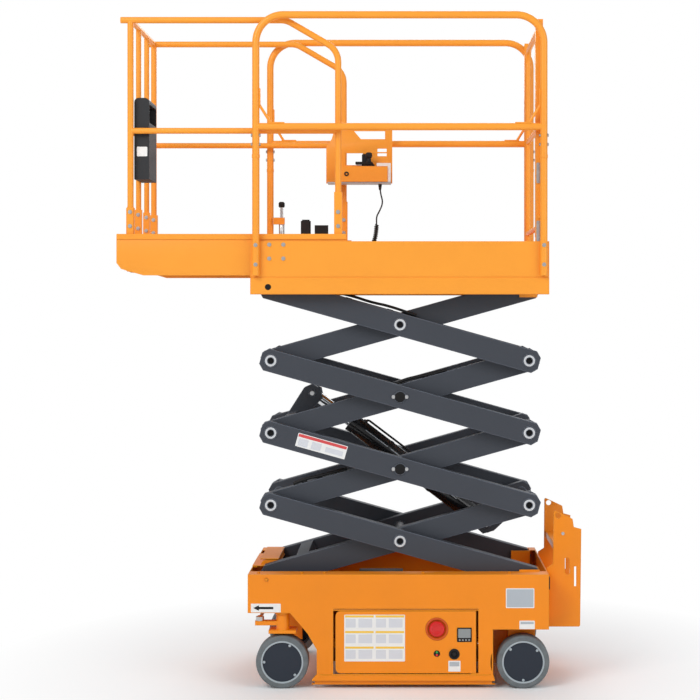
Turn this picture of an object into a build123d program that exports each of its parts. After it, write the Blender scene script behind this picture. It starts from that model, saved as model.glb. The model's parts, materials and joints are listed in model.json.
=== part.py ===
from build123d import *
import math
import os

# Compact electric scissor lift: four scissor levels, steered front wheels, rear drive wheels,
# a railed platform and a roll-out deck that is slid out at the front.
# Millimetres. Z up, -X is the front of the machine, -Y its near side.
# The origin is on the ground, under the middle of the whole machine.

# Overall reach of the machine from the middle of its scissor stack
FRONT_REACH = 1245.0
REAR_REACH = 809.0
MID = (FRONT_REACH - REAR_REACH) / 2
HALF_W = 380.0

# Running clearances
PIN_GAP = 0.3
SEAT_GAP = 0.3
MOVE_GAP = 6.0

# Wheels
TYRE_R = 115.0
TYRE_W = 80.0
RIM_R = 87.0
FRONT_AXLE = MID - 514.0
REAR_AXLE = MID + 538.0
WHEEL_Y = HALF_W - TYRE_W / 2
WHEEL_IN = HALF_W - TYRE_W
STUB_R = 16.0
SHOULDER_R = 9.0
DISC_INSET = 4.0
DISC_THICK = 8.0
RIM_WALL = 12.0
HUB_R = 34.0
KINGPIN_R = 24.0
STEER_ARM = 100.0

# Chassis
SHEET = 5.0
CHASSIS_FRONT = MID - 664.0
CHASSIS_REAR = MID + 650.0
CHASSIS_TOP = 498.0
NOSE_BOTTOM = 330.0
TAIL_BOTTOM = 258.0
BODY_BOTTOM = 62.0
BODY_FRONT = MID - 363.0
BODY_REAR = MID + 406.0
TROUGH_FLOOR = 345.0
ARCH_GAP = 28.0
TIE_HOLE_R = 12.0

COVER_Y = 170.0

# Pothole guards
GUARD_FRONT = MID - 386.0
GUARD_REAR = MID + 416.0
GUARD_BOTTOM = 20.0
GUARD_Y = 368.0
GUARD_HINGE_Z = 49.0
GUARD_PIN_R = 5.0
LUG_W = 16.0
LUG_IN = 24.0
LUG_WALL = 5.0

# Swing-out trays
DOOR_FRONT = MID - 281.0
DOOR_REAR = MID + 332.0
DOOR_BOTTOM = 67.0
DOOR_TOP = 338.0
DOOR_THICK = 22.0
DOOR_GAP = 10.0
TRAY_THICK = 5.0
DOOR_HINGE_X = DOOR_REAR - 8.0
DOOR_HINGE_Y = HALF_W - 8.0
DOOR_PIN = 16.0
DOOR_PIN_R = 4.0
MASS_FRONT = MID - 200.0
MASS_REAR = MID + 220.0
MASS_IN = 150.0
MASS_OUT = 335.0
MASS_TOP = 290.0

# Ground controls in the near door
POCKET = 16.0
STOP_X = MID + 161.0
STOP_Z = 260.0
STOP_RING_R = 50.0
STOP_R = 34.0
SCREEN_X = (MID + 249.0, MID + 313.0)
SCREEN_Z = (204.0, 266.0)
SOCKET_X = MID + 237.0
SOCKET_Z = 151.0
SOCKET_R = 23.5
LAMP_Z = 153.0
LAMP_R = 14.0

# Scissor stack
LEVELS = 4
ARM_LENGTH = 1186.0
ARM_ANGLE = 15.6
ARM_H = 100.0
ARM_W = 50.0
ARM_WALL = 4.0
ARM_END = 46.0
ARM_CLIP = 24.0
OUTER_FACE = 290.0
ARM_GAP = 10.0
PIN_R = 26.0
PIN_HOLE_R = 13.0
PIN_PROUD = 4.0
BOSS_WALL = 6.0
BOTTOM_PIN_Z = 470.0
ROLLER_R = 21.5
ROLLER_W = 34.0
ROLLER_OUT = 46.0
AXLE_R = 14.0
EAR_TOP = 36.0
EAR_W = 8.0

# Lift cylinder, placed along and above the lower-left pins of inner arm frames 1 and 3
FOOT_ALONG = 983.0
FOOT_ABOVE = -69.0
HEAD_ALONG = 206.0
HEAD_ABOVE = 111.0
BARREL_R = 42.0
BARREL_WALL = 8.0
BARREL_START = 62.0
BARREL_END = 780.0
ROD_R = 25.0
ROD_TAIL = 230.0
EYE_R = 40.0
EYE_HALF = 24.0
EYE_PIN_R = 16.0
EAR = 12.0
BEAM = 50.0

# Platform
DECK_FRONT = MID - 656.0
DECK_REAR = MID + 654.0
BEAM_BOTTOM = 1720.0
BEAM_TOP = 1797.0
FLOOR_UNDER = 1806.0
FLOOR_SHEET = 4.0
TOE_TOP = 1953.0
TOE_SHEET = 4.0
RAIL_R = 16.0
RAIL_Y = HALF_W - RAIL_R
RAIL_TOP = 2942.0
RAIL_MID = 2453.0
RAIL_BEND = 120.0
FRONT_POST = MID - 630.0
REAR_POST = MID + 629.0

# Roll-out deck
EXT_FRONT = MID - FRONT_REACH
EXT_REAR = MID - 236.0
EXT_SIDE = 335.0
EXT_SHEET = 4.0
EXT_LIP = 1803.0
EXT_TOE_TOP = 1984.0
EXT_RAIL_R = 14.0
EXT_RAIL_TOP = 2927.0
EXT_RAIL_MID = 2440.0
EXT_CORNER_POST = MID - 1186.0
EXT_REAR_POST = MID - 272.0
EXT_INNER_POST_Y = 110.0
EXT_FLOOR_REAR = MID - 120.0
EXT_STEP_X = MID - 500.0
EXT_STEP_Z = 2795.0

# Gate
GATE_POST_X = MID + 612.0
GATE_POST_Y = 318.0
GATE_POST_SIZE = 32.0
GATE_HINGE_Y = 278.0
GATE_R = 13.0
GATE_TOP = 2890.0
GATE_BOTTOM = 1975.0
GATE_HINGES = (1998.0, 2253.0)
HINGE_PIN_R = 5.0

# Worked out from the sizes above
ARM_IN = OUTER_FACE - 2 * ARM_W - ARM_GAP
SPAN = ARM_LENGTH * math.cos(math.radians(ARM_ANGLE))
RISE = ARM_LENGTH * math.sin(math.radians(ARM_ANGLE))
LEFT_PIN = MID - SPAN / 2
RIGHT_PIN = MID + SPAN / 2
TOP_PIN_Z = BOTTOM_PIN_Z + LEVELS * RISE
FLOOR_TOP = FLOOR_UNDER + FLOOR_SHEET
BORE_R = PIN_R + PIN_GAP
STUB_END = HALF_W - DISC_INSET - DISC_THICK - SEAT_GAP

os.makedirs("parts", exist_ok=True)


def save(part, name):
    part.label = name
    export_step(part, f"parts/{name}.step")


def block(x, y, z, mode=Mode.ADD):
    """A plain plate or bar between two limits on each axis."""
    with Locations(((x[0] + x[1]) / 2, (y[0] + y[1]) / 2, (z[0] + z[1]) / 2)):
        Box(x[1] - x[0], y[1] - y[0], z[1] - z[0], mode=mode)


def bar(start, end, radius, mode=Mode.ADD):
    """A round bar from one point to another."""
    a, b = Vector(*start), Vector(*end)
    with Locations(Plane(origin=(a + b) / 2, z_dir=b - a)):
        Cylinder(radius, (b - a).length, mode=mode)


def cross_bar(x, z, y0, y1, radius, mode=Mode.ADD):
    bar((x, y0, z), (x, y1, z), radius, mode)


def bent_tube(points, radii, radius):
    """A round tube that follows straight runs joined by arcs."""
    with BuildLine() as path:
        FilletPolyline(*points, radius=radii)
    with BuildSketch(Plane(origin=path.line @ 0, z_dir=path.line % 0)) as section:
        Circle(radius)
    sweep(section.sketch, path=path.line)


def side_outline(points, y0, y1, mode=Mode.ADD):
    """A plate with an outline in X and Z, between two places across the machine."""
    with BuildSketch(Plane(origin=(0, y1, 0), x_dir=(1, 0, 0), z_dir=(0, -1, 0))) as plate:
        with BuildLine():
            Polyline(*points, close=True)
        make_face()
    extrude(plate.sketch, amount=y1 - y0, mode=mode)


def inner_plane(level):
    """Along an inner arm from its lower front pin, Y of the plane square to the arm."""
    angle = math.radians(ARM_ANGLE)
    return Plane(
        origin=(LEFT_PIN, 0, BOTTOM_PIN_Z + (level - 1) * RISE),
        x_dir=(math.cos(angle), 0, math.sin(angle)),
        z_dir=(0, -1, 0),
    )


def outer_plane(level):
    """Along an outer arm from its lower rear pin, Y of the plane square to the arm."""
    angle = math.radians(ARM_ANGLE)
    return Plane(
        origin=(RIGHT_PIN, 0, BOTTOM_PIN_Z + (level - 1) * RISE),
        x_dir=(-math.cos(angle), 0, math.sin(angle)),
        z_dir=(0, 1, 0),
    )


def both_sides(inside, width):
    """Offsets, along a plane's normal, of one thing on the near side and its twin."""
    return (inside, -inside - width)


# Chassis: side walls with wheel arches, trough floor, ends, roller tracks, pivot ears, axle box
with BuildPart() as chassis_frame:
    wall = Plane(origin=(0, -HALF_W, 0), x_dir=(1, 0, 0), z_dir=(0, -1, 0))
    with BuildSketch(wall) as side:
        with BuildLine():
            Polyline(
                (CHASSIS_FRONT, CHASSIS_TOP),
                (CHASSIS_FRONT, NOSE_BOTTOM),
                (BODY_FRONT, NOSE_BOTTOM),
                (BODY_FRONT, BODY_BOTTOM),
                (BODY_REAR, BODY_BOTTOM),
                (BODY_REAR, TAIL_BOTTOM),
                (CHASSIS_REAR, TAIL_BOTTOM),
                (CHASSIS_REAR, CHASSIS_TOP),
                close=True,
            )
        make_face()
        with BuildLine():
            Polyline(
                (BODY_FRONT, NOSE_BOTTOM),
                (BODY_FRONT, NOSE_BOTTOM - 160),
                (BODY_FRONT - 40, NOSE_BOTTOM - 90),
                (BODY_FRONT - 117, NOSE_BOTTOM),
                close=True,
            )
        make_face()
        with Locations((REAR_AXLE, TYRE_R)):
            Circle(TYRE_R + ARCH_GAP, mode=Mode.SUBTRACT)
        with Locations(((DOOR_FRONT + DOOR_REAR) / 2, (DOOR_BOTTOM + DOOR_TOP) / 2)):
            Rectangle(
                DOOR_REAR - DOOR_FRONT + 2 * DOOR_GAP,
                DOOR_TOP - DOOR_BOTTOM + 2 * DOOR_GAP,
                mode=Mode.SUBTRACT,
            )
    extrude(amount=-SHEET)
    # Top flange that also holds the roller down
    block((CHASSIS_FRONT, CHASSIS_REAR), (-HALF_W, -OUTER_FACE - MOVE_GAP), (CHASSIS_TOP - SHEET, CHASSIS_TOP))
    track_z = BOTTOM_PIN_Z - ROLLER_R - SEAT_GAP
    block(
        (CHASSIS_FRONT, LEFT_PIN + 390),
        (-HALF_W, -OUTER_FACE - MOVE_GAP),
        (track_z - SHEET, track_z),
    )
    # Trough floor and the two ends
    block((CHASSIS_FRONT, CHASSIS_REAR), (-HALF_W, 0), (TROUGH_FLOOR - SHEET, TROUGH_FLOOR))
    block((CHASSIS_FRONT, CHASSIS_FRONT + 3), (-HALF_W, 0), (NOSE_BOTTOM, CHASSIS_TOP))
    block((CHASSIS_FRONT, CHASSIS_FRONT + 22), (-COVER_Y, 0), (CHASSIS_TOP - 4, CHASSIS_TOP))
    block((CHASSIS_REAR - SHEET, CHASSIS_REAR), (-HALF_W, 0), (TAIL_BOTTOM, CHASSIS_TOP))
    # Lower body: front and rear bulkheads and the belly under the trays
    block((BODY_FRONT, BODY_FRONT + SHEET), (-HALF_W, 0), (BODY_BOTTOM, TROUGH_FLOOR))
    block((BODY_REAR - SHEET, BODY_REAR), (-HALF_W, 0), (BODY_BOTTOM, TROUGH_FLOOR))
    block((BODY_FRONT, BODY_REAR), (-MASS_IN + 20, 0), (BODY_BOTTOM, BODY_BOTTOM + SHEET))
    # Rear drive box with its stub axle
    block((REAR_AXLE - 60, REAR_AXLE + 60), (-WHEEL_IN + 20, 0), (TYRE_R - 45, TROUGH_FLOOR - SHEET))
    block((BODY_REAR - SHEET, REAR_AXLE - 60), (-200, 0), (TYRE_R - 45, TROUGH_FLOOR - SHEET))
    cross_bar(REAR_AXLE, TYRE_R, -STUB_END, -WHEEL_IN + 20, STUB_R)
    # Lugs for the pothole guards
    for x in (BODY_FRONT + LUG_IN, BODY_REAR - LUG_IN):
        lug_faces = (x - LUG_W / 2, x + LUG_W / 2)
        lug_r = GUARD_PIN_R + LUG_WALL
        bar((lug_faces[0], -GUARD_Y, GUARD_HINGE_Z), (lug_faces[1], -GUARD_Y, GUARD_HINGE_Z), lug_r)
        block(lug_faces, (-GUARD_Y - lug_r, -GUARD_Y + lug_r), (GUARD_HINGE_Z, BODY_BOTTOM))
        bar(
            (x - LUG_W, -GUARD_Y, GUARD_HINGE_Z),
            (x + LUG_W, -GUARD_Y, GUARD_HINGE_Z),
            GUARD_PIN_R + PIN_GAP,
            Mode.SUBTRACT,
        )
    block((BODY_FRONT, BODY_FRONT + 2 * LUG_IN), (-HALF_W, -HALF_W + 40), (BODY_BOTTOM, BODY_BOTTOM + SHEET))
    block((BODY_REAR - 2 * LUG_IN, BODY_REAR), (-HALF_W, -HALF_W + 40), (BODY_BOTTOM, BODY_BOTTOM + SHEET))
    # Hinge pins of the tray doors, up from a foot strip and down from the trough floor
    block(
        (DOOR_HINGE_X - 14, BODY_REAR),
        (-HALF_W, -DOOR_HINGE_Y + 14),
        (BODY_BOTTOM - 1, DOOR_BOTTOM - SEAT_GAP),
    )
    for z in ((BODY_BOTTOM, DOOR_BOTTOM + DOOR_PIN), (DOOR_TOP - DOOR_PIN, TROUGH_FLOOR - 2)):
        bar((DOOR_HINGE_X, -DOOR_HINGE_Y, z[0]), (DOOR_HINGE_X, -DOOR_HINGE_Y, z[1]), DOOR_PIN_R)
    # Kingpin bosses under the nose
    bar((FRONT_AXLE, -WHEEL_Y, 322), (FRONT_AXLE, -WHEEL_Y, TROUGH_FLOOR - SHEET), KINGPIN_R + 12)
    bar((FRONT_AXLE, -WHEEL_Y, 322), (FRONT_AXLE, -WHEEL_Y, TROUGH_FLOOR + 30), KINGPIN_R + 6)
    bar((FRONT_AXLE, -WHEEL_Y, 322), (FRONT_AXLE, -WHEEL_Y, 372), KINGPIN_R / 2 + PIN_GAP, Mode.SUBTRACT)
    # Fixed pivot at the rear, two ears and the pin through them
    ear_out = OUTER_FACE + MOVE_GAP
    ear_in = OUTER_FACE - ARM_W - MOVE_GAP
    for face in (ear_out, ear_in - EAR_W):
        block(
            (RIGHT_PIN - 45, RIGHT_PIN + 45),
            (-face - EAR_W, -face),
            (TROUGH_FLOOR - SHEET, BOTTOM_PIN_Z + EAR_TOP),
        )
    pin_end = ear_out + EAR_W + PIN_PROUD
    cross_bar(RIGHT_PIN, BOTTOM_PIN_Z, -pin_end, -ear_in + EAR_W, PIN_R)
    cross_bar(RIGHT_PIN, BOTTOM_PIN_Z, -pin_end, -OUTER_FACE, PIN_HOLE_R, Mode.SUBTRACT)
    mirror(about=Plane.XZ)
save(chassis_frame.part, "chassis_frame")

# Front cover over the steering gear, with a sloped nose
with BuildPart() as front_cover:
    cover_top = CHASSIS_TOP + 102
    cover_rear = CHASSIS_FRONT + 119
    side_outline(
        [
            (CHASSIS_FRONT, CHASSIS_TOP + SEAT_GAP),
            (cover_rear, CHASSIS_TOP + SEAT_GAP),
            (cover_rear, cover_top - 20),
            (cover_rear - 40, cover_top),
            (CHASSIS_FRONT + 36, cover_top - 16),
            (CHASSIS_FRONT, cover_top - 60),
        ],
        -COVER_Y,
        COVER_Y,
    )
save(front_cover.part, "front_cover")

# Power box in the trough
with BuildPart() as power_box:
    block((MID - 190, MID + 13), (-130, 130), (TROUGH_FLOOR + SEAT_GAP, TROUGH_FLOOR + 94))
    fillet(power_box.edges().filter_by(Axis.Z), 12)
save(power_box.part, "power_box")

# Entry ladder, a bent plate with steps cut in it
with BuildPart() as ladder:
    ladder_rear = MID + REAR_REACH
    ladder_front = CHASSIS_REAR + SEAT_GAP
    for side_y in (-230.0, 226.0):
        side_outline(
            [
                (ladder_front, 272),
                (ladder_rear - 18, 272),
                (ladder_rear - 5, 290),
                (ladder_rear, 699),
                (ladder_rear - 32, 705),
                (ladder_rear - 38, 742),
                (ladder_front + 28, 773),
                (ladder_front + 28, 502),
                (ladder_front, 380),
            ],
            side_y,
            side_y + 4,
        )
    for step_z in (300.0, 500.0, 690.0):
        block((ladder_front + 30, ladder_rear - 6), (-228, 228), (step_z - 30, step_z))
    for side_y in (-228.0, 228.0):
        cross_bar(MID + 704.5, 734.6, side_y - 4, side_y + 4, TIE_HOLE_R, Mode.SUBTRACT)
save(ladder.part, "ladder")

# Pothole guards, each hinged in two lugs under a side of the body
guard_ends = (BODY_FRONT + LUG_IN, BODY_REAR - LUG_IN)
lug_drop = GUARD_PIN_R + LUG_WALL
for side, name in ((-1, "near"), (1, "far")):
    with BuildPart() as guard:
        y_plate = sorted((side * (GUARD_Y - 3), side * (GUARD_Y + 3)))
        y_flange = sorted((side * (GUARD_Y - 12), side * (GUARD_Y + 3)))
        shoulder_z = GUARD_HINGE_Z - lug_drop - MOVE_GAP
        block((GUARD_FRONT, GUARD_REAR), y_flange, (GUARD_BOTTOM - 4, GUARD_BOTTOM))
        block((GUARD_FRONT + 14, GUARD_REAR - 14), y_plate, (GUARD_BOTTOM - 2, shoulder_z))
        block(
            (guard_ends[0] + LUG_W / 2 + 1, guard_ends[1] - LUG_W / 2 - 1),
            y_plate,
            (shoulder_z, GUARD_HINGE_Z),
        )
        bar(
            (guard_ends[0] - LUG_W, side * GUARD_Y, GUARD_HINGE_Z),
            (guard_ends[1] + LUG_W, side * GUARD_Y, GUARD_HINGE_Z),
            GUARD_PIN_R,
        )
    save(guard.part, f"pothole_guard_{name}")

# Swing-out trays: folded door, tray floor
for side, name in ((-1, "near"), (1, "far")):
    with BuildPart() as door:
        face = Plane(origin=(0, side * HALF_W, 0), x_dir=(1, 0, 0), z_dir=(0, -1, 0))
        with BuildSketch(face):
            with BuildLine():
                Polyline(
                    (DOOR_FRONT, DOOR_BOTTOM),
                    (DOOR_REAR, DOOR_BOTTOM),
                    (DOOR_REAR, DOOR_TOP),
                    (DOOR_FRONT, DOOR_TOP),
                    close=True,
                )
            make_face()
            fillet(vertices().sort_by(Axis.X)[:2], 22)
        extrude(amount=side * DOOR_THICK)
        if side < 0:
            cross_bar(STOP_X, STOP_Z, -HALF_W, -HALF_W + POCKET, STOP_RING_R, Mode.SUBTRACT)
            block(SCREEN_X, (-HALF_W, -HALF_W + POCKET), SCREEN_Z, Mode.SUBTRACT)
            cross_bar(SOCKET_X, SOCKET_Z, -HALF_W, -HALF_W + POCKET, SOCKET_R, Mode.SUBTRACT)
            cross_bar(STOP_X, LAMP_Z, -HALF_W, -HALF_W + POCKET, LAMP_R, Mode.SUBTRACT)
        for z in ((DOOR_BOTTOM, DOOR_BOTTOM + DOOR_PIN + 1), (DOOR_TOP - DOOR_PIN - 1, DOOR_TOP)):
            bar(
                (DOOR_HINGE_X, side * DOOR_HINGE_Y, z[0]),
                (DOOR_HINGE_X, side * DOOR_HINGE_Y, z[1]),
                DOOR_PIN_R + PIN_GAP,
                Mode.SUBTRACT,
            )
        tray_y = sorted((side * (MASS_IN + 4), side * (HALF_W - DOOR_THICK / 2)))
        block((MASS_FRONT, MASS_REAR), tray_y, (DOOR_BOTTOM, DOOR_BOTTOM + TRAY_THICK))
    save(door.part, f"tray_door_{name}")

    with BuildPart() as mass:
        mass_y = sorted((side * MASS_IN, side * MASS_OUT))
        floor_z = DOOR_BOTTOM + TRAY_THICK
        block((MASS_FRONT + 4, MASS_REAR - 4), mass_y, (floor_z, MASS_TOP))
    save(mass.part, "battery_pack" if side < 0 else "hydraulic_pack")

# Ground controls, set in pockets of the near door: stop button, screen, socket, lamp
with BuildPart() as ground_controls:
    back = -HALF_W + POCKET - SEAT_GAP
    cross_bar(STOP_X, STOP_Z, back, back - 4, STOP_RING_R - SEAT_GAP)
    cross_bar(STOP_X, STOP_Z, back, -HALF_W + 6, 16)
    cross_bar(STOP_X, STOP_Z, -HALF_W + 8, -HALF_W + 1, STOP_R)
    block(
        (SCREEN_X[0] + SEAT_GAP, SCREEN_X[1] - SEAT_GAP),
        (-HALF_W + 1, back),
        (SCREEN_Z[0] + SEAT_GAP, SCREEN_Z[1] - SEAT_GAP),
    )
    cross_bar(SOCKET_X, SOCKET_Z, -HALF_W + 1, back, SOCKET_R - SEAT_GAP)
    cross_bar(STOP_X, LAMP_Z, -HALF_W + 1, back, LAMP_R - SEAT_GAP)
save(ground_controls.part, "ground_controls")

# Steering knuckles: kingpin, plate over the tyre, inner leg, stub axle, steering arm
for side, name in ((-1, "near"), (1, "far")):
    with BuildPart() as knuckle:
        y_mid = side * WHEEL_Y
        leg_in = WHEEL_IN - 22
        over = TYRE_R * 2 + 8
        block(
            (FRONT_AXLE - 60, FRONT_AXLE + 60),
            sorted((side * leg_in, side * (HALF_W - 8))),
            (over, over + 14),
        )
        block(
            (FRONT_AXLE - 45, FRONT_AXLE + 45),
            sorted((side * leg_in, side * (leg_in + 12))),
            (TYRE_R - 40, over + 14),
        )
        bar((FRONT_AXLE, y_mid, over + 14), (FRONT_AXLE, y_mid, 320), 29)
        bar((FRONT_AXLE, y_mid, 316), (FRONT_AXLE, y_mid, 368), KINGPIN_R / 2)
        cross_bar(FRONT_AXLE, TYRE_R, side * (leg_in + 6), side * STUB_END, STUB_R)
        block(
            (FRONT_AXLE - STEER_ARM - 20, FRONT_AXLE),
            sorted((side * (WHEEL_Y - 20), side * (WHEEL_Y + 20))),
            (272, 290),
        )
        bar((FRONT_AXLE - STEER_ARM, y_mid, 290), (FRONT_AXLE - STEER_ARM, y_mid, 312), 9)
    save(knuckle.part, f"knuckle_{name}")

# Tie rod between the steering arms
with BuildPart() as tie_rod:
    tie_x = FRONT_AXLE - STEER_ARM
    for side in (-1, 1):
        bar((tie_x, side * WHEEL_Y, 290.3), (tie_x, side * WHEEL_Y, 308), 18)
    cross_bar(tie_x, 299, -WHEEL_Y + 8, WHEEL_Y - 8, 8)
    for side in (-1, 1):
        bar(
            (tie_x, side * WHEEL_Y, 280),
            (tie_x, side * WHEEL_Y, 320),
            9 + PIN_GAP,
            Mode.SUBTRACT,
        )
save(tie_rod.part, "tie_rod")

# Wheels: a solid tyre with rounded shoulders and a flat disc with its hub
for x_axle, end in ((FRONT_AXLE, "front"), (REAR_AXLE, "rear")):
    for side, name in ((-1, "near"), (1, "far")):
        axle = Plane(origin=(x_axle, side * HALF_W, TYRE_R), x_dir=(1, 0, 0), z_dir=(0, -side, 0))
        with BuildPart() as tyre:
            with BuildSketch(axle):
                Circle(TYRE_R)
                Circle(RIM_R, mode=Mode.SUBTRACT)
            extrude(amount=TYRE_W)
            fillet(tyre.edges().group_by(SortBy.LENGTH)[-1], SHOULDER_R)
        save(tyre.part, f"tyre_{end}_{name}")
        with BuildPart() as disc:
            with BuildSketch(axle.offset(DISC_INSET)):
                Circle(RIM_R)
            extrude(amount=TYRE_W - 2 * DISC_INSET)
            with BuildSketch(axle.offset(DISC_INSET + DISC_THICK)):
                Circle(RIM_R - RIM_WALL)
                Circle(HUB_R, mode=Mode.SUBTRACT)
            extrude(amount=TYRE_W, mode=Mode.SUBTRACT)
            with BuildSketch(axle.offset(DISC_INSET + DISC_THICK)):
                Circle(STUB_R + PIN_GAP)
            extrude(amount=TYRE_W, mode=Mode.SUBTRACT)
        save(disc.part, f"wheel_{end}_{name}")


def arm_outline():
    """Side outline of a straight arm with clipped corners, from pin to pin."""
    low, high = -ARM_END, ARM_LENGTH + ARM_END
    half = ARM_H / 2
    Polyline(
        (low + ARM_CLIP, -half),
        (high - ARM_CLIP, -half),
        (high, -half + ARM_CLIP),
        (high, half - ARM_CLIP),
        (high - ARM_CLIP, half),
        (low + ARM_CLIP, half),
        (low, half - ARM_CLIP),
        (low, -half + ARM_CLIP),
        close=True,
    )


def discs(plane, spots, start, depth, radius, mode=Mode.ADD):
    """Round pieces square to an arm's plane, one at each spot."""
    with BuildSketch(plane.offset(start)) as rounds:
        with Locations(*spots):
            Circle(radius)
    extrude(rounds.sketch, amount=depth, mode=mode)


def arm_pair(plane, inside, bores):
    """Two rectangular tubes, one each side, with a boss at each pivot and bores at some."""
    pivots = [(0, 0), (ARM_LENGTH / 2, 0), (ARM_LENGTH, 0)]
    for face in both_sides(inside, ARM_W):
        with BuildSketch(plane.offset(face)) as arm:
            with BuildLine():
                arm_outline()
            make_face()
        extrude(arm.sketch, amount=ARM_W)
        with BuildSketch(plane.offset(face + ARM_WALL)) as hollow:
            with Locations((ARM_LENGTH / 2, 0)):
                Rectangle(ARM_LENGTH + 3 * ARM_END, ARM_H - 2 * ARM_WALL)
        extrude(hollow.sketch, amount=ARM_W - 2 * ARM_WALL, mode=Mode.SUBTRACT)
        discs(plane, pivots, face, ARM_W, BORE_R + BOSS_WALL)
        if bores:
            discs(plane, bores, face, ARM_W, BORE_R, Mode.SUBTRACT)


LOW_END = (0, 0)
MIDDLE = (ARM_LENGTH / 2, 0)
HIGH_END = (ARM_LENGTH, 0)

# Outer arms, each level a near and a far arm; the top pair carries rollers in the deck beams
for level in range(1, LEVELS + 1):
    with BuildPart() as outer:
        plane = outer_plane(level)
        arm_in = OUTER_FACE - ARM_W
        top = level == LEVELS
        arm_pair(plane, arm_in, [LOW_END, MIDDLE] if top else [LOW_END, MIDDLE, HIGH_END])
        if top:
            for face in both_sides(arm_in, ARM_W + ROLLER_OUT):
                discs(plane, [HIGH_END], face, ARM_W + ROLLER_OUT, AXLE_R)
            for face in both_sides(arm_in, ARM_W):
                discs(plane, [HIGH_END], face, ARM_W, BORE_R)
            for face in both_sides(OUTER_FACE + ROLLER_OUT - ROLLER_W, ROLLER_W):
                discs(plane, [HIGH_END], face, ROLLER_W, ROLLER_R)
    save(outer.part, f"outer_arms_{level}")


def beam_between(plane, along, above, size):
    """A square cross tube between the two inner arms of a level."""
    with BuildSketch(plane.offset(-ARM_IN)) as beam:
        with Locations((along, above)):
            Rectangle(size, size)
    extrude(beam.sketch, amount=2 * ARM_IN)


def ears(plane, outline, gap_half, thick):
    """Two plates with one outline, each side of the lift cylinder's eye."""
    for face in both_sides(gap_half, thick):
        with BuildSketch(plane.offset(face)) as ear:
            with BuildLine():
                Polyline(*outline, close=True)
            make_face()
        extrude(ear.sketch, amount=thick)


# Inner arms, each level a welded frame of two arms, cross tubes and the pivot pins
EYE_GAP = EYE_HALF + MOVE_GAP
foot = (FOOT_ALONG, FOOT_ABOVE)
head = (HEAD_ALONG, HEAD_ABOVE)
for level in range(1, LEVELS + 1):
    with BuildPart() as inner:
        plane = inner_plane(level)
        top = level == LEVELS
        arm_pair(plane, ARM_IN, [HIGH_END] if top else [])
        pins = [MIDDLE]
        if level > 1:
            pins.append(LOW_END)
        if not top:
            pins.append(HIGH_END)
        pin_in = ARM_IN - PIN_PROUD
        pin_out = OUTER_FACE + PIN_PROUD
        for face in both_sides(pin_in, pin_out - pin_in):
            discs(plane, pins, face, pin_out - pin_in, PIN_R)
        if level in (1, LEVELS):
            discs(plane, [MIDDLE], -ARM_IN, 2 * ARM_IN, PIN_R)
        open_pins = [pin for pin in pins if pin != MIDDLE or level in (1, LEVELS)]
        for face in both_sides(OUTER_FACE - ARM_W, ARM_W + PIN_PROUD):
            discs(plane, open_pins, face, ARM_W + PIN_PROUD, PIN_HOLE_R, Mode.SUBTRACT)
        if level == 1:
            # Roller axle at the front, a square cross tube behind it, the cylinder's foot
            axle_out = OUTER_FACE + ROLLER_OUT
            discs(plane, [LOW_END], -axle_out, 2 * axle_out, AXLE_R)
            for face in both_sides(axle_out - ROLLER_W, ROLLER_W):
                discs(plane, [LOW_END], face, ROLLER_W, ROLLER_R)
            for face in both_sides(ARM_IN, ARM_W):
                discs(plane, [LOW_END], face, ARM_W, BORE_R)
            beam_between(plane, 150, 20, 56)
            beam_between(plane, FOOT_ALONG + 107, FOOT_ABOVE + 44, BEAM)
            ears(
                plane,
                [
                    (FOOT_ALONG - 44, FOOT_ABOVE - 8),
                    (FOOT_ALONG - 26, FOOT_ABOVE - 36),
                    (FOOT_ALONG + 26, FOOT_ABOVE - 36),
                    (FOOT_ALONG + 132, FOOT_ABOVE + 19),
                    (FOOT_ALONG + 132, FOOT_ABOVE + 69),
                    (FOOT_ALONG + 84, FOOT_ABOVE + 69),
                    (FOOT_ALONG + 82, FOOT_ABOVE + 26),
                    (FOOT_ALONG - 20, FOOT_ABOVE + 30),
                ],
                EYE_GAP,
                EAR,
            )
            discs(plane, [foot], -EYE_GAP - EAR, 2 * (EYE_GAP + EAR), EYE_PIN_R)
        if level == 2:
            beam_between(plane, ARM_LENGTH - 160, 0, 56)
            beam_between(plane, 150, 0, 56)
        if level == 3:
            beam_between(plane, 95, 25, BEAM)
            beam_between(plane, ARM_LENGTH - 160, 0, 56)
            ears(
                plane,
                [
                    (70, 0),
                    (120, 0),
                    (HEAD_ALONG + 40, HEAD_ABOVE - 34),
                    (HEAD_ALONG + 44, HEAD_ABOVE + 10),
                    (HEAD_ALONG + 10, HEAD_ABOVE + 40),
                    (HEAD_ALONG - 30, HEAD_ABOVE + 34),
                    (70, 50),
                ],
                EYE_GAP,
                EAR,
            )
            # Pin heads flush with the inner faces of the ears, so the eye can drift past them
            for face in both_sides(EYE_GAP, EAR + 8):
                discs(plane, [head], face, EAR + 8, EYE_PIN_R)
        if top:
            beam_between(plane, ARM_LENGTH - 200, 0, 56)
    save(inner.part, f"inner_arms_{level}")

# Lift cylinder: barrel from its foot pin, rod from inside the barrel to its eye
foot_point = inner_plane(1).from_local_coords(Vector(FOOT_ALONG, FOOT_ABOVE, 0))
head_point = inner_plane(3).from_local_coords(Vector(HEAD_ALONG, HEAD_ABOVE, 0))
stroke_line = head_point - foot_point
along_cylinder = stroke_line.normalized()


def cylinder_plane(distance):
    return Plane(origin=foot_point + along_cylinder * distance, x_dir=(0, 1, 0), z_dir=along_cylinder)


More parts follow.
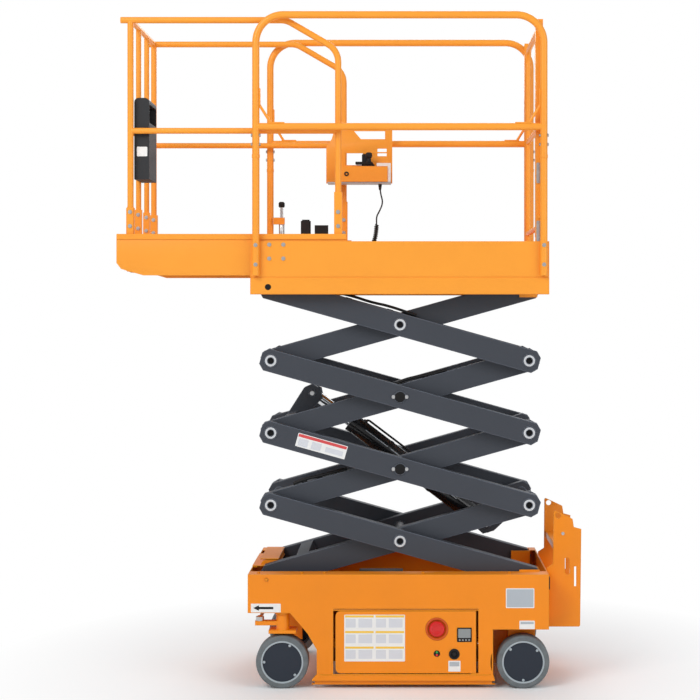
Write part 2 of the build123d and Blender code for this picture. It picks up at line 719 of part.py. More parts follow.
with BuildPart() as lift_barrel:
    with BuildSketch(cylinder_plane(BARREL_START)):
        Circle(BARREL_R)
    extrude(amount=BARREL_END - BARREL_START)
    with BuildSketch(cylinder_plane(BARREL_START + 20)):
        Circle(BARREL_R - BARREL_WALL)
    extrude(amount=BARREL_END - BARREL_START - 50, mode=Mode.SUBTRACT)
    with BuildSketch(cylinder_plane(BARREL_END - 40)):
        Circle(ROD_R + PIN_GAP)
    extrude(amount=60, mode=Mode.SUBTRACT)
    cross_bar(foot_point.X, foot_point.Z, -EYE_HALF, EYE_HALF, EYE_R)
    bar(foot_point, foot_point + along_cylinder * (BARREL_START + 6), EYE_HALF)
    cross_bar(foot_point.X, foot_point.Z, -EYE_HALF, EYE_HALF, EYE_PIN_R + PIN_GAP, Mode.SUBTRACT)
save(lift_barrel.part, "lift_barrel")

with BuildPart() as lift_rod:
    with BuildSketch(cylinder_plane(ROD_TAIL)):
        Circle(ROD_R)
    extrude(amount=stroke_line.length - ROD_TAIL - 8)
    cross_bar(head_point.X, head_point.Z, -EYE_HALF, EYE_HALF, EYE_R - 4)
save(lift_rod.part, "lift_rod")

# Platform deck: floor sheet on two side beams whose slots hold the rollers, rear pivot ears
with BuildPart() as platform_deck:
    block((DECK_FRONT, DECK_REAR), (-EXT_SIDE + 8, 0), (FLOOR_UNDER, FLOOR_TOP))
    inner_web = OUTER_FACE + MOVE_GAP
    web_out = RAIL_Y - RAIL_R - SEAT_GAP
    slot_low = TOP_PIN_Z - ROLLER_R - SEAT_GAP
    slot_high = TOP_PIN_Z + ROLLER_R + SEAT_GAP
    block((DECK_FRONT, DECK_REAR), (-web_out, -inner_web), (BEAM_BOTTOM, slot_low))
    block((DECK_FRONT, DECK_REAR), (-web_out, -inner_web), (slot_high, slot_high + 4))
    block((DECK_FRONT, DECK_REAR), (-web_out, -web_out + TOE_SHEET), (BEAM_BOTTOM, BEAM_TOP))
    block((DECK_FRONT, DECK_REAR), (-inner_web - 4, -inner_web), (slot_high, FLOOR_UNDER))
    # Stiffener under the floor and the rear fixed pivot ears
    block((DECK_FRONT, DECK_REAR), (-140, -132), (FLOOR_UNDER - 20, FLOOR_UNDER))
    for face in (ARM_IN - MOVE_GAP - EAR_W, ARM_IN + ARM_W + 1):
        block(
            (RIGHT_PIN - 40, RIGHT_PIN + 40),
            (-face - EAR_W, -face),
            (TOP_PIN_Z - 38, FLOOR_UNDER),
        )
    cross_bar(RIGHT_PIN, TOP_PIN_Z, -ARM_IN - ARM_W - 1 - EAR_W, -ARM_IN + MOVE_GAP + EAR_W, PIN_R)
    mirror(about=Plane.XZ)
save(platform_deck.part, "platform_deck")

# Toe boards along both sides of the main platform
with BuildPart() as toe_boards:
    toe_in = web_out - TOE_SHEET
    for side in (-1, 1):
        y = sorted((side * toe_in, side * web_out))
        block((DECK_FRONT, DECK_REAR), y, (BEAM_TOP + SEAT_GAP, TOE_TOP))
save(toe_boards.part, "toe_boards")

# Main guard rails, a bent hoop each side with a middle rail and corner braces
for side, name in ((-1, "near"), (1, "far")):
    y = side * RAIL_Y
    with BuildPart() as rail:
        for post in (FRONT_POST, REAR_POST):
            bent_tube([(MID, y, RAIL_TOP), (post, y, RAIL_TOP), (post, y, BEAM_TOP + 5)], [RAIL_BEND], RAIL_R)
        bar((FRONT_POST, y, RAIL_MID), (REAR_POST, y, RAIL_MID), RAIL_R)
        for post, inward in ((FRONT_POST, 1), (REAR_POST, -1)):
            bar((post, y, RAIL_MID + 120), (post + inward * 75, y, RAIL_MID), 6)
    save(rail.part, f"side_rail_{name}")

# Rear frame: two gate posts on a rear toe board
with BuildPart() as rear_frame:
    for side in (-1, 1):
        y = sorted((side * (GATE_POST_Y - 16), side * (GATE_POST_Y + 16)))
        block(
            (GATE_POST_X - 16, GATE_POST_X + 16),
            y,
            (FLOOR_TOP + SEAT_GAP, 2929),
        )
        bar(
            (GATE_POST_X, side * (GATE_POST_Y + 14), 2900),
            (REAR_POST - 20, side * (RAIL_Y - RAIL_R - SEAT_GAP), 2900),
            10,
        )
        bar(
            (GATE_POST_X, side * (GATE_POST_Y + 14), 2060),
            (REAR_POST - 8, side * (RAIL_Y - RAIL_R - SEAT_GAP), 2060),
            10,
        )
    block(
        (GATE_POST_X + 16, GATE_POST_X + 20),
        (-GATE_POST_Y - 16, GATE_POST_Y + 16),
        (FLOOR_TOP + SEAT_GAP, TOE_TOP),
    )
    for z in GATE_HINGES:
        bar((GATE_POST_X, -GATE_HINGE_Y, z - 30), (GATE_POST_X, -GATE_HINGE_Y, z - 2), 12)
        block(
            (GATE_POST_X - 6, GATE_POST_X + 6),
            (-GATE_POST_Y + 10, -GATE_HINGE_Y),
            (z - 30, z - 2),
        )
        bar((GATE_POST_X, -GATE_HINGE_Y, z - 10), (GATE_POST_X, -GATE_HINGE_Y, z + 22), HINGE_PIN_R)
save(rear_frame.part, "rear_frame")

# Gate: a hoop with a middle rail and a sill bar, hinged on the near post
with BuildPart() as gate:
    gate_near = -GATE_HINGE_Y + 30
    gate_far = GATE_POST_Y - GATE_POST_SIZE / 2 - MOVE_GAP - GATE_R
    bent_tube(
        [
            (GATE_POST_X, gate_near, GATE_BOTTOM),
            (GATE_POST_X, gate_near, GATE_TOP),
            (GATE_POST_X, gate_far, GATE_TOP),
            (GATE_POST_X, gate_far, GATE_BOTTOM),
        ],
        [60, 60],
        GATE_R,
    )
    for z in (GATE_BOTTOM + 40, RAIL_MID):
        cross_bar(GATE_POST_X, z, gate_near, gate_far, GATE_R - 1)
    for z in GATE_HINGES:
        bar((GATE_POST_X, -GATE_HINGE_Y, z), (GATE_POST_X, -GATE_HINGE_Y, z + 28), 12)
        block(
            (GATE_POST_X - 6, GATE_POST_X + 6),
            (-GATE_HINGE_Y, gate_near),
            (z, z + 28),
        )
    for z in GATE_HINGES:
        bar(
            (GATE_POST_X, -GATE_HINGE_Y, z - 12),
            (GATE_POST_X, -GATE_HINGE_Y, z + 30),
            HINGE_PIN_R + PIN_GAP,
            Mode.SUBTRACT,
        )
save(gate.part, "gate")

# Roll-out deck: floor sheet with side boards and slide pads
ext_floor = FLOOR_TOP + MOVE_GAP
with BuildPart() as extension_deck:
    block((EXT_FRONT, EXT_FLOOR_REAR), (-EXT_SIDE, 0), (ext_floor, ext_floor + EXT_SHEET))
    block((EXT_FRONT, EXT_FRONT + EXT_SHEET), (-EXT_SIDE, 0), (EXT_LIP, ext_floor))
    for x in (DECK_FRONT + 30, EXT_REAR - 70):
        block((x, x + 60), (-EXT_SIDE + 20, -EXT_SIDE + 60), (FLOOR_TOP + SEAT_GAP, ext_floor))
    mirror(about=Plane.XZ)
save(extension_deck.part, "extension_deck")

with BuildPart() as extension_toe_board:
    top_z = EXT_TOE_TOP
    base_z = ext_floor + EXT_SHEET + SEAT_GAP
    for side in (-1, 1):
        side_outline(
            [
                (EXT_FRONT, top_z),
                (EXT_FRONT, base_z),
                (EXT_REAR, base_z),
                (EXT_REAR, top_z),
            ],
            *sorted((side * (EXT_SIDE - EXT_SHEET), side * EXT_SIDE)),
        )
    block((EXT_FRONT, EXT_FRONT + EXT_SHEET), (-EXT_SIDE, EXT_SIDE), (base_z, top_z))
save(extension_toe_board.part, "extension_toe_board")

# Roll-out deck's guard rails: stepped top rail, middle rail, posts, front cross rails
ext_y = EXT_SIDE - EXT_SHEET - EXT_RAIL_R - SEAT_GAP
with BuildPart() as extension_rails:
    for side in (-1, 1):
        y = side * ext_y
        bent_tube(
            [
                (EXT_CORNER_POST - 43, y, EXT_RAIL_TOP),
                (EXT_STEP_X, y, EXT_RAIL_TOP),
                (EXT_REAR_POST, y, EXT_STEP_Z),
                (EXT_REAR_POST, y, base_z),
            ],
            [90, 90],
            EXT_RAIL_R,
        )
        bar((EXT_CORNER_POST, y, EXT_RAIL_TOP), (EXT_CORNER_POST, y, base_z), EXT_RAIL_R - 0.5)
        bar((EXT_CORNER_POST, y, EXT_RAIL_MID), (EXT_REAR_POST, y, EXT_RAIL_MID), EXT_RAIL_R - 1)
        inner_y = side * EXT_INNER_POST_Y
        bar((EXT_CORNER_POST, inner_y, EXT_RAIL_TOP), (EXT_CORNER_POST, inner_y, base_z), EXT_RAIL_R - 2)
    for z in (EXT_RAIL_TOP, EXT_RAIL_MID):
        cross_bar(EXT_CORNER_POST, z, -ext_y, ext_y, EXT_RAIL_R - 1.5)
save(extension_rails.part, "extension_rails")

# Document box on the inside of the front rails
with BuildPart() as document_box:
    box_x = EXT_CORNER_POST + EXT_RAIL_R - 1.5 + SEAT_GAP
    block((box_x, box_x + 66), (-ext_y + 20, -100), (2228, 2588))
    fillet(document_box.edges().filter_by(Axis.Y).group_by(Axis.Z)[-1], 20)
    block((box_x + 5, box_x + 61), (-ext_y + 25, -105), (2233, 2560), Mode.SUBTRACT)
    block((box_x + 5, box_x + 80), (-ext_y + 25, -105), (2480, 2560), Mode.SUBTRACT)
save(document_box.part, "document_box")

# Control box on the far side of the roll-out deck, with its joystick
with BuildPart() as control_box:
    y_plate = ext_y - EXT_RAIL_R - SEAT_GAP
    block((MID - 356, MID - 39), (y_plate - 4, y_plate), (2257, 2431))
    block((MID - 300, MID - 60), (y_plate - 120, y_plate - 4), (2250, 2330))
save(control_box.part, "control_box")

with BuildPart() as joystick:
    stick_x, stick_y = MID - 150, y_plate - 60
    bar((stick_x, stick_y, 2330.3), (stick_x, stick_y, 2370), 10)
    bar((stick_x, stick_y, 2368), (stick_x, stick_y, 2400), 16)
save(joystick.part, "joystick")

# Control cable: a straight length out of the box, then a curly length down to its gland
CABLE_R = 4.0
CURLY_R = 12.0
cable_y = y_plate - 40
cable_route = [
    (MID - 97, cable_y, 2250),
    (MID - 97, cable_y, 2210),
    (MID - 82, cable_y - 3, 2165),
    (MID - 99, cable_y - 4, 2122),
    (MID - 114, cable_y - 2, 2098),
    (MID - 114, cable_y - 2, 2062),
]
gland_top = ext_floor + EXT_SHEET + 16
curly_route = [
    (MID - 114, cable_y - 2, 2062),
    (MID - 114, cable_y - 2, 2012),
    (MID - 138, cable_y, 1945),
    (MID - 164, cable_y, 1888),
    (MID - 164, cable_y, gland_top),
]


def route_radii(route):
    """Arc radius at each inner point, 0.45 of the shorter run over the tangent of half the turn."""
    radii = []
    for before, here, after in zip(route, route[1:], route[2:]):
        first = Vector(*here) - Vector(*before)
        second = Vector(*after) - Vector(*here)
        half_turn = math.radians(first.get_angle(second)) / 2
        radii.append(0.45 * min(first.length, second.length) / math.tan(half_turn))
    return radii


for route, radius, name in (
    (cable_route, CABLE_R, "control_cable"),
    (curly_route, CURLY_R, "curly_cable"),
):
    radii = route_radii(route)
    print(name, "radii", [round(value) for value in radii])
    with BuildPart() as cord:
        bent_tube(route, radii, radius)
    save(cord.part, name)

# Gland on the roll-out deck's floor
with BuildPart() as cable_gland:
    gland_x, gland_y, gland_z = curly_route[-1]
    bar((gland_x, gland_y, ext_floor + EXT_SHEET), (gland_x, gland_y, gland_z), CURLY_R + 4)
save(cable_gland.part, "cable_gland")

# Spring lock for the roll-out deck on the far front post
with BuildPart() as deck_lock:
    lock_x, lock_y = MID - 574, RAIL_Y - 12
    bar((lock_x, lock_y, 2010), (lock_x, lock_y, 2125), 10)
    block((FRONT_POST + RAIL_R + SEAT_GAP, lock_x), (lock_y - 3, lock_y + 12), (2040, 2080))
save(deck_lock.part, "deck_lock")
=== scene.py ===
import json
import math

import bmesh
import bpy
from mathutils import Matrix, Vector


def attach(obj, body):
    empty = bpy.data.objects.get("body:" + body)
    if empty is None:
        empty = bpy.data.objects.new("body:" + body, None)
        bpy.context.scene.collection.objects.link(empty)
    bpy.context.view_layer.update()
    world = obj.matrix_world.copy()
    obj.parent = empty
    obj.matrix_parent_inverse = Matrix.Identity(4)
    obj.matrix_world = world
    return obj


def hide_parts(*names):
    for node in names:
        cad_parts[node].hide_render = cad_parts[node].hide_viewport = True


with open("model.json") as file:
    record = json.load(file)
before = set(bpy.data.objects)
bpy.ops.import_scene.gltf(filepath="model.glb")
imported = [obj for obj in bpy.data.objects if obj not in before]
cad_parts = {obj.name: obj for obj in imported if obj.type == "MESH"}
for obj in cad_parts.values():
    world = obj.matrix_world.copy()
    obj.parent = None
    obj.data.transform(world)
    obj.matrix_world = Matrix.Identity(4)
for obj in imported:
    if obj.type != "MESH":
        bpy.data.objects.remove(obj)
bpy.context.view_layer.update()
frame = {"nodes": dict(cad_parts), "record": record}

# Places that the pieces share, in metres: +Z is up, -X the steered front, -Y the near side
MID = 0.218
HALF_WIDTH = 0.380
NEAR = -HALF_WIDTH
NEAR_WAY, FAR_WAY, UP_WAY = (0, -1, 0), (0, 1, 0), (0, 0, 1)
SIDES = ((-1, "near", NEAR_WAY), (1, "far", FAR_WAY))
HALF_SPAN = 0.5712
RISE = 0.31894
BOTTOM_PIN = 0.470
ARM_ANGLE = math.radians(15.6)
OUTER_FACE = 0.290
PIN_END = 0.294
MAIN_FLOOR, DECK_FLOOR = 1.810, 1.820
RAIL_POSTS, RAIL_Y = (-0.630, 0.629), 0.364


def span(low, high):
    """Limits along the machine, counted from the middle of its body."""
    return (MID + low, MID + high)


def beside(side, inner, outer):
    """Limits across the machine on one of its sides, lower one first."""
    return sorted((side * inner, side * outer))


def in_place(points):
    """X and Z places counted from the middle of the body."""
    return [(MID + x, z) for x, z in points]


def placed(name, data):
    """A new object in the scene."""
    made = bpy.data.objects.new(name, data)
    bpy.context.scene.collection.objects.link(made)
    return made


# Camera: level, at eye height, square to the near side; the shift holds the photograph's framing
PHOTO = 700
FOCAL_PIXELS = 1548.0
HORIZON = 306.0
MIDDLE_COLUMN = 405.0
EYE_HEIGHT, STAND_OFF = 1.669, 6.75
camera_data = bpy.data.cameras.new("camera")
camera_data.sensor_width = 36.0
camera_data.lens = FOCAL_PIXELS / PHOTO * camera_data.sensor_width
camera_data.shift_x = (PHOTO / 2 - MIDDLE_COLUMN) / PHOTO
camera_data.shift_y = (HORIZON - PHOTO / 2) / PHOTO
camera = placed("camera", camera_data)
camera.location = (MID + 0.022, NEAR - STAND_OFF, EYE_HEIGHT)
camera.rotation_euler = (math.radians(90), 0, 0)
bpy.context.scene.camera = camera
bpy.context.scene.view_settings.view_transform = "Standard"


# Node trees and materials
class Nodes:
    """Short calls for building a tree of nodes."""

    def __init__(self, tree):
        self.tree = tree

    def wire(self, source, target):
        self.tree.links.new(source, target)

    def fill(self, made, values):
        """Sets a node's properties, wires and input values by name."""
        for key, value in values.items():
            if hasattr(made, key):
                setattr(made, key, value)
            elif isinstance(value, bpy.types.NodeSocket):
                self.wire(value, made.inputs[key.replace("_", " ")])
            else:
                made.inputs[key.replace("_", " ")].default_value = value
        return made

    def node(self, kind, **values):
        return self.fill(self.tree.nodes.new(kind), values)


class Surface(Nodes):
    """The nodes of one material."""

    def __init__(self, name):
        self.material = bpy.data.materials.new(name)
        self.material.use_nodes = True
        super().__init__(self.material.node_tree)
        self.shader = self.tree.nodes["Principled BSDF"]
        self.coords = self.node("ShaderNodeTexCoord").outputs["Object"]

    def finish(self, **values):
        self.fill(self.shader, values)
        return self.material

    def noise(self, scale, detail=4.0, rough=0.55):
        return self.node("ShaderNodeTexNoise", Vector=self.coords, Scale=scale, Detail=detail,
                         Roughness=rough).outputs["Fac"]

    def ramp(self, source, stops):
        made = self.node("ShaderNodeValToRGB", Fac=source)
        elements = made.color_ramp.elements
        while len(elements) < len(stops):
            elements.new(0.5)
        for element, (place, color) in zip(elements, stops):
            element.position = place
            element.color = (*color, 1.0)
        return made.outputs["Color"]

    def spread(self, source, low, high):
        return self.node("ShaderNodeMapRange", Value=source, To_Min=low, To_Max=high).outputs["Result"]

    def bump(self, source, strength, distance):
        made = self.node("ShaderNodeBump", Height=source, Strength=strength, Distance=distance)
        self.finish(Normal=made.outputs["Normal"])
        return made


def srgb(*values):
    """A colour as seen on screen, turned into the linear values that the shader takes."""
    return tuple(v / 12.92 if v <= 0.04045 else ((v + 0.055) / 1.055) ** 2.4 for v in values)


def shade(color, factor):
    return tuple(min(1.0, value * factor) for value in color)


# Noise scales of paint: slow clouds of tint, dust, orange peel
CLOUD, DUST, PEEL = 2.3, 38.0, 420.0
PEEL_DEPTH = 0.0004
# Painted highlight on rounded edges: its reach, how much lighter it makes the colour, and the bend where it
# starts and ends
EDGE_RADIUS = 0.006
EDGE_LIGHTER = 4.0
EDGE_FLAT, EDGE_BENT = 0.995, 0.90


def paint(name, color, rough, coat=0.0, grain=0.12, edge_highlight=0.0):
    """Sprayed paint: slow tint changes, orange peel, fine dust, and a painted highlight that makes the
    rounded edges lighter.
    """
    made = Surface(name)
    color = srgb(*color)
    cloud = made.noise(CLOUD, 5.0, 0.6)
    tint = made.ramp(cloud, [(0.25, shade(color, 0.93)), (0.75, shade(color, 1.05))])
    fleck = made.noise(DUST, 6.0, 0.65)
    shine = made.spread(fleck, rough - 0.05, rough + 0.08)
    peel = made.bump(made.noise(PEEL, 2.0, 0.5), grain, PEEL_DEPTH)
    # Painted highlight: the colour is mixed toward a much lighter one where the rounded normal bends away
    # from the flat one
    if edge_highlight:
        rounding = made.node("ShaderNodeBevel", samples=4, Radius=EDGE_RADIUS)
        made.wire(rounding.outputs["Normal"], peel.inputs["Normal"])
        flat = made.node("ShaderNodeNewGeometry")
        bend = made.node("ShaderNodeVectorMath", operation="DOT_PRODUCT", Vector=rounding.outputs["Normal"])
        made.wire(flat.outputs["Normal"], bend.inputs[1])
        edge = made.node("ShaderNodeMapRange", Value=bend.outputs["Value"],
                         From_Min=EDGE_FLAT, From_Max=EDGE_BENT, To_Max=edge_highlight)
        highlight_mix = made.node("ShaderNodeMix", data_type="RGBA", Factor=edge.outputs["Result"])
        made.wire(tint, highlight_mix.inputs[6])
        highlight_mix.inputs[7].default_value = (*shade(color, EDGE_LIGHTER), 1.0)
        tint = highlight_mix.outputs[2]
    return made.finish(Base_Color=tint, Roughness=shine, Coat_Weight=coat, Coat_Roughness=0.15,
                       Specular_IOR_Level=0.35)


# The chassis and the arms get a painted highlight along their edges
chassis_paint = paint("chassis_orange", (0.965, 0.555, 0.045), 0.42, coat=0.12, edge_highlight=0.12)
platform_paint = paint("platform_orange", (1.0, 0.635, 0.19), 0.40, coat=0.12)
arm_paint = paint("arm_charcoal", (0.245, 0.26, 0.29), 0.42, grain=0.2, edge_highlight=0.8)
wheel_paint = paint("wheel_slate", (0.15, 0.18, 0.225), 0.5)
black_paint = paint("cylinder_black", (0.10, 0.10, 0.11), 0.25, coat=0.3)
black_plastic = paint("black_plastic", (0.09, 0.09, 0.095), 0.55, grain=0.4)
grey_plastic = paint("box_plastic", (0.17, 0.175, 0.185), 0.6, grain=0.5)
red_plastic = paint("stop_red", (0.83, 0.07, 0.06), 0.25, coat=0.5)
cable_jacket = paint("cable_jacket", (0.10, 0.10, 0.11), 0.5, grain=0.3)
stop_rim = paint("stop_rim", (0.80, 0.33, 0.07), 0.4, coat=0.2)
display_grey = paint("display_grey", (0.56, 0.58, 0.58), 0.3, grain=0.2)
lamp_lens_green = paint("lens_green", (0.10, 0.62, 0.22), 0.2, coat=0.6)
label_white = paint("label_white", (0.93, 0.93, 0.92), 0.5, grain=0.1)
label_yellow = paint("label_yellow", (0.96, 0.79, 0.30), 0.5, grain=0.1)
label_grey = paint("label_grey", (0.70, 0.73, 0.755), 0.45, grain=0.1)
label_pale = paint("label_pale", (0.84, 0.85, 0.87), 0.5, grain=0.1)
label_black = paint("label_black", (0.07, 0.07, 0.075), 0.5, grain=0.1)
label_red = paint("label_red", (0.85, 0.32, 0.32), 0.5, grain=0.1)
rim_light = paint("rim_light", (0.66, 0.70, 0.72), 0.5, grain=0.2)
hole_black = paint("hole_black", (0.04, 0.04, 0.045), 0.7, grain=0.2)
pin_ring = paint("pin_steel", (0.80, 0.81, 0.82), 0.35, grain=0.2)


def metal(name, color, rough):
    """Bright metal with cloudy tint and uneven shine."""
    made = Surface(name)
    color = srgb(*color)
    tint = made.ramp(made.noise(60.0), [(0.3, shade(color, 0.85)), (0.7, color)])
    shine = made.spread(made.noise(180.0), rough - 0.06, rough + 0.08)
    return made.finish(Metallic=1.0, Base_Color=tint, Roughness=shine)


zinc = metal("zinc_plate", (0.80, 0.80, 0.80), 0.32)
chromed = metal("rod_chrome", (0.86, 0.87, 0.88), 0.10)


def tyre_rubber():
    """Grey solid rubber, scuffed in patches and finely pitted."""
    made = Surface("tyre_rubber")
    scuff = made.noise(24.0, 6.0, 0.7)
    tint = made.ramp(scuff, [(0.3, srgb(0.37, 0.395, 0.405)), (0.72, srgb(0.45, 0.475, 0.485))])
    made.bump(made.noise(260.0), 0.35, 0.0006)
    return made.finish(Base_Color=tint, Roughness=0.72)


FINISH = {
    "chassis_paint": chassis_paint,
    "platform_paint": platform_paint,
    "arm_paint": arm_paint,
    "wheel_paint": wheel_paint,
    "black_paint": black_paint,
    "grey_steel": zinc,
    "chromed_rod": chromed,
    "tyre": tyre_rubber(),
    "black_plastic": black_plastic,
    "grey_plastic": grey_plastic,
    "red_plastic": red_plastic,
    "cable_rubber": cable_jacket,
}
for row in frame["record"]["subparts"]:
    node = frame["nodes"][row["node"]]
    node.data.materials.clear()
    node.data.materials.append(FINISH[row["material_slot"]])


# Floor, backdrop and light
FADE_START, FADE_END = 0.75, 2.0
FLOOR_SIZE = 60
SKY_STRENGTH = 0.56
AIM_HEIGHT = 1.3
PURE_WHITE = (1.0, 1.0, 1.0, 1.0)


def stage_material():
    """A pale floor that takes the shadow and fades to white away from the machine."""
    made = Surface("stage_floor")
    made.finish(Base_Color=(0.94, 0.94, 0.94, 1.0), Roughness=0.9)
    white = made.node("ShaderNodeEmission", Color=PURE_WHITE, Strength=1.0)
    place = made.node("ShaderNodeMapping", Vector=made.coords, Location=(-MID, 0.0, 0.0))
    distance = made.node("ShaderNodeVectorMath", operation="LENGTH", Vector=place.outputs["Vector"])
    fade = made.node("ShaderNodeMapRange", Value=distance.outputs["Value"],
                     From_Min=FADE_START, From_Max=FADE_END)
    ray = made.node("ShaderNodeLightPath")
    seen = made.node("ShaderNodeMath", operation="MAXIMUM", Value=ray.outputs["Is Camera Ray"])
    made.wire(ray.outputs["Is Glossy Ray"], seen.inputs[1])
    amount = made.node("ShaderNodeMath", operation="MULTIPLY", Value=fade.outputs["Result"])
    made.wire(seen.outputs["Value"], amount.inputs[1])
    blend = made.node("ShaderNodeMixShader", Fac=amount.outputs["Value"])
    made.wire(made.shader.outputs["BSDF"], blend.inputs[1])
    made.wire(white.outputs["Emission"], blend.inputs[2])
    made.wire(blend.outputs["Shader"], made.tree.nodes["Material Output"].inputs["Surface"])
    return made.material


# Name, place, watts; each lamp is a square of this width
LAMP_WIDTH = 3.0
LAMPS = (
    ("key", (-3.2, -4.6, 5.2), 172.0),
    ("fill", (4.2, -3.6, 3.4), 68.0),
    ("back", (1.0, 4.6, 4.6), 90.0),
)


def studio():
    bpy.ops.mesh.primitive_plane_add(size=FLOOR_SIZE)
    floor = bpy.context.object
    floor.name = "studio_floor"
    floor.data.materials.append(stage_material())

    world = bpy.data.worlds.new("studio")
    bpy.context.scene.world = world
    world.use_nodes = True
    sky = Nodes(world.node_tree)
    soft = sky.tree.nodes["Background"]
    sky.fill(soft, {"Color": (0.95, 0.97, 1.0, 1.0), "Strength": SKY_STRENGTH})
    white = sky.node("ShaderNodeBackground", Color=PURE_WHITE, Strength=1.0)
    ray = sky.node("ShaderNodeLightPath")
    blend = sky.node("ShaderNodeMixShader", Fac=ray.outputs["Is Camera Ray"])
    sky.wire(soft.outputs["Background"], blend.inputs[1])
    sky.wire(white.outputs["Background"], blend.inputs[2])
    sky.wire(blend.outputs["Shader"], sky.tree.nodes["World Output"].inputs["Surface"])

    for name, place, power in LAMPS:
        lamp = bpy.data.lights.new(name, "AREA")
        lamp.energy = power
        lamp.size = LAMP_WIDTH
        holder = placed(name, lamp)
        holder.location = place
        aim = Vector((MID, 0.0, AIM_HEIGHT)) - Vector(place)
        holder.rotation_euler = aim.to_track_quat("-Z", "Y").to_euler()


studio()


# The lead of the control station: a plain length, then a wound one
def spline_curve(name, points, radius, material, sides=4, steps=12):
    """A smooth tube along given points."""
    curve = bpy.data.curves.new(name, "CURVE")
    curve.dimensions = "3D"
    spline = curve.splines.new("NURBS")
    spline.points.add(len(points) - 1)
    for target, point in zip(spline.points, points):
        target.co = (*point, 1.0)
    spline.order_u = 3
    spline.use_endpoint_u = True
    spline.resolution_u = steps
    curve.bevel_depth = radius
    curve.bevel_resolution = sides
    curve.use_fill_caps = True
    curve.materials.append(material)
    return placed(name, curve)


def taken_mesh(holder):
    """The evaluated shape of an object as a mesh; the object leaves the scene."""
    graph = bpy.context.evaluated_depsgraph_get()
    mesh = bpy.data.meshes.new_from_object(holder.evaluated_get(graph))
    bpy.data.objects.remove(holder)
    return mesh


CABLE_Y = 0.2624
CABLE_R = 0.0035
LEAD_X, CURLY_X, GLAND_X = MID - 0.097, MID - 0.114, MID - 0.164
CURLY_TOP = 2.062
CURLY_TURNS = 24
CURLY_POINTS = 12
CURLY_WIND = 0.0083
plain_route = [
    (LEAD_X, CABLE_Y, 2.250),
    (LEAD_X, CABLE_Y, 2.210),
    (MID - 0.082, CABLE_Y - 0.003, 2.165),
    (MID - 0.099, CABLE_Y - 0.004, 2.122),
    (CURLY_X, CABLE_Y - 0.002, 2.098),
]
curly_route = [
    (CURLY_X, CABLE_Y - 0.002, CURLY_TOP),
    (CURLY_X, CABLE_Y - 0.002, 2.012),
    (MID - 0.138, CABLE_Y, 1.945),
    (GLAND_X, CABLE_Y, 1.888),
    (GLAND_X, CABLE_Y, 1.836),
]


def route_line(points):
    """Points along a route's smooth spline, read from a curve without thickness."""
    mesh = taken_mesh(spline_curve("route_guide", points, 0.0, cable_jacket))
    return [vertex.co.copy() for vertex in mesh.vertices]


def curly_points(line):
    """Control points of the wound length, with the turns opening out of its axis at both ends."""
    runs = [0.0]
    for before, here in zip(line, line[1:]):
        runs.append(runs[-1] + (here - before).length)
    made = []
    total = CURLY_TURNS * CURLY_POINTS
    for step in range(total + 1):
        along = runs[-1] * step / total
        index = max(1, next((i for i, run in enumerate(runs) if run >= along - 1e-9), len(runs) - 1))
        share = (along - runs[index - 1]) / (runs[index] - runs[index - 1])
        centre = line[index - 1].lerp(line[index], share)
        forward = (line[index] - line[index - 1]).normalized()
        across = forward.cross(Vector(FAR_WAY)).normalized()
        upward = across.cross(forward)
        turn = 2 * math.pi * step / CURLY_POINTS
        open_out = min(1.0, step / CURLY_POINTS, (total - step) / CURLY_POINTS)
        made.append(centre + (across * math.cos(turn) + upward * math.sin(turn)) * CURLY_WIND * open_out)
    return made


def spline_length(points):
    line = route_line(points)
    return sum((here - before).length for before, here in zip(line, line[1:]))


lead_points = [Vector(point) for point in plain_route] + curly_points(route_line(curly_route))
lead = spline_curve("control_lead", lead_points, CABLE_R, cable_jacket, sides=2, steps=4)


# Pieces in plain mesh
SMOOTH_UNDER = math.radians(38)


def finished(name, body, shape, slot, replaced=(), materials=None):
    """One finished piece from a bmesh or a mesh, riding on its body, as a rule in its slot's finish."""
    materials = materials or [FINISH[slot]]
    if isinstance(shape, bmesh.types.BMesh):
        mesh = bpy.data.meshes.new(name)
        for material in materials:
            mesh.materials.append(material)
        bmesh.ops.remove_doubles(shape, verts=shape.verts, dist=1e-6)
        bmesh.ops.recalc_face_normals(shape, faces=shape.faces)
        shape.to_mesh(mesh)
        shape.free()
    else:
        mesh = shape
        mesh.name = name
        mesh.materials.clear()
        mesh.materials.append(materials[0])
    for face in mesh.polygons:
        face.use_smooth = True
    mesh.set_sharp_from_angle(angle=SMOOTH_UNDER)
    made = placed(name, mesh)
    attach(made, body)
    if replaced:
        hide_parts(*replaced)
    return made


def turned(shape, profile, centre, axis, finish=0, segments=40):
    """A turned piece: (radius, along) pairs taken round an axis, closed where the radius is nothing."""
    along = Vector(axis).normalized()
    side = along.orthogonal().normalized()
    other = along.cross(side)
    rings = []
    for radius, height in profile:
        middle = Vector(centre) + along * height
        if radius == 0:
            rings.append([shape.verts.new(middle)])
            continue
        ring = []
        for step in range(segments):
            angle = 2 * math.pi * step / segments
            ring.append(shape.verts.new(middle + (side * math.cos(angle) + other * math.sin(angle)) * radius))
        rings.append(ring)
    for low, high in zip(rings, rings[1:]):
        for step in range(segments):
            after = (step + 1) % segments
            corners = (low[step % len(low)], low[after % len(low)],
                       high[after % len(high)], high[step % len(high)])
            unique = list(dict.fromkeys(corners))
            if len(unique) > 2:
                shape.faces.new(unique).material_index = finish


def disc_profile(radius, low, high):
    return [(0, low), (radius, low), (radius, high), (0, high)]


def ring_profile(inner, outer, height, edge):
    """Closed section of a ring with eased edges."""
    return [
        (inner, 0.0), (outer, 0.0), (outer, height - edge), (outer - edge, height),
        (inner + edge, height), (inner, height - edge), (inner, 0.0),
    ]


def dome_profile(radius, height, edge):
    """Section of a button with a rounded top edge."""
    section = [(0, 0), (radius, 0), (radius, height - edge)]
    for step in range(1, 5):
        angle = math.pi / 2 * step / 4
        section.append((radius - edge + edge * math.cos(angle), height - edge + edge * math.sin(angle)))
    return section + [(0, height)]


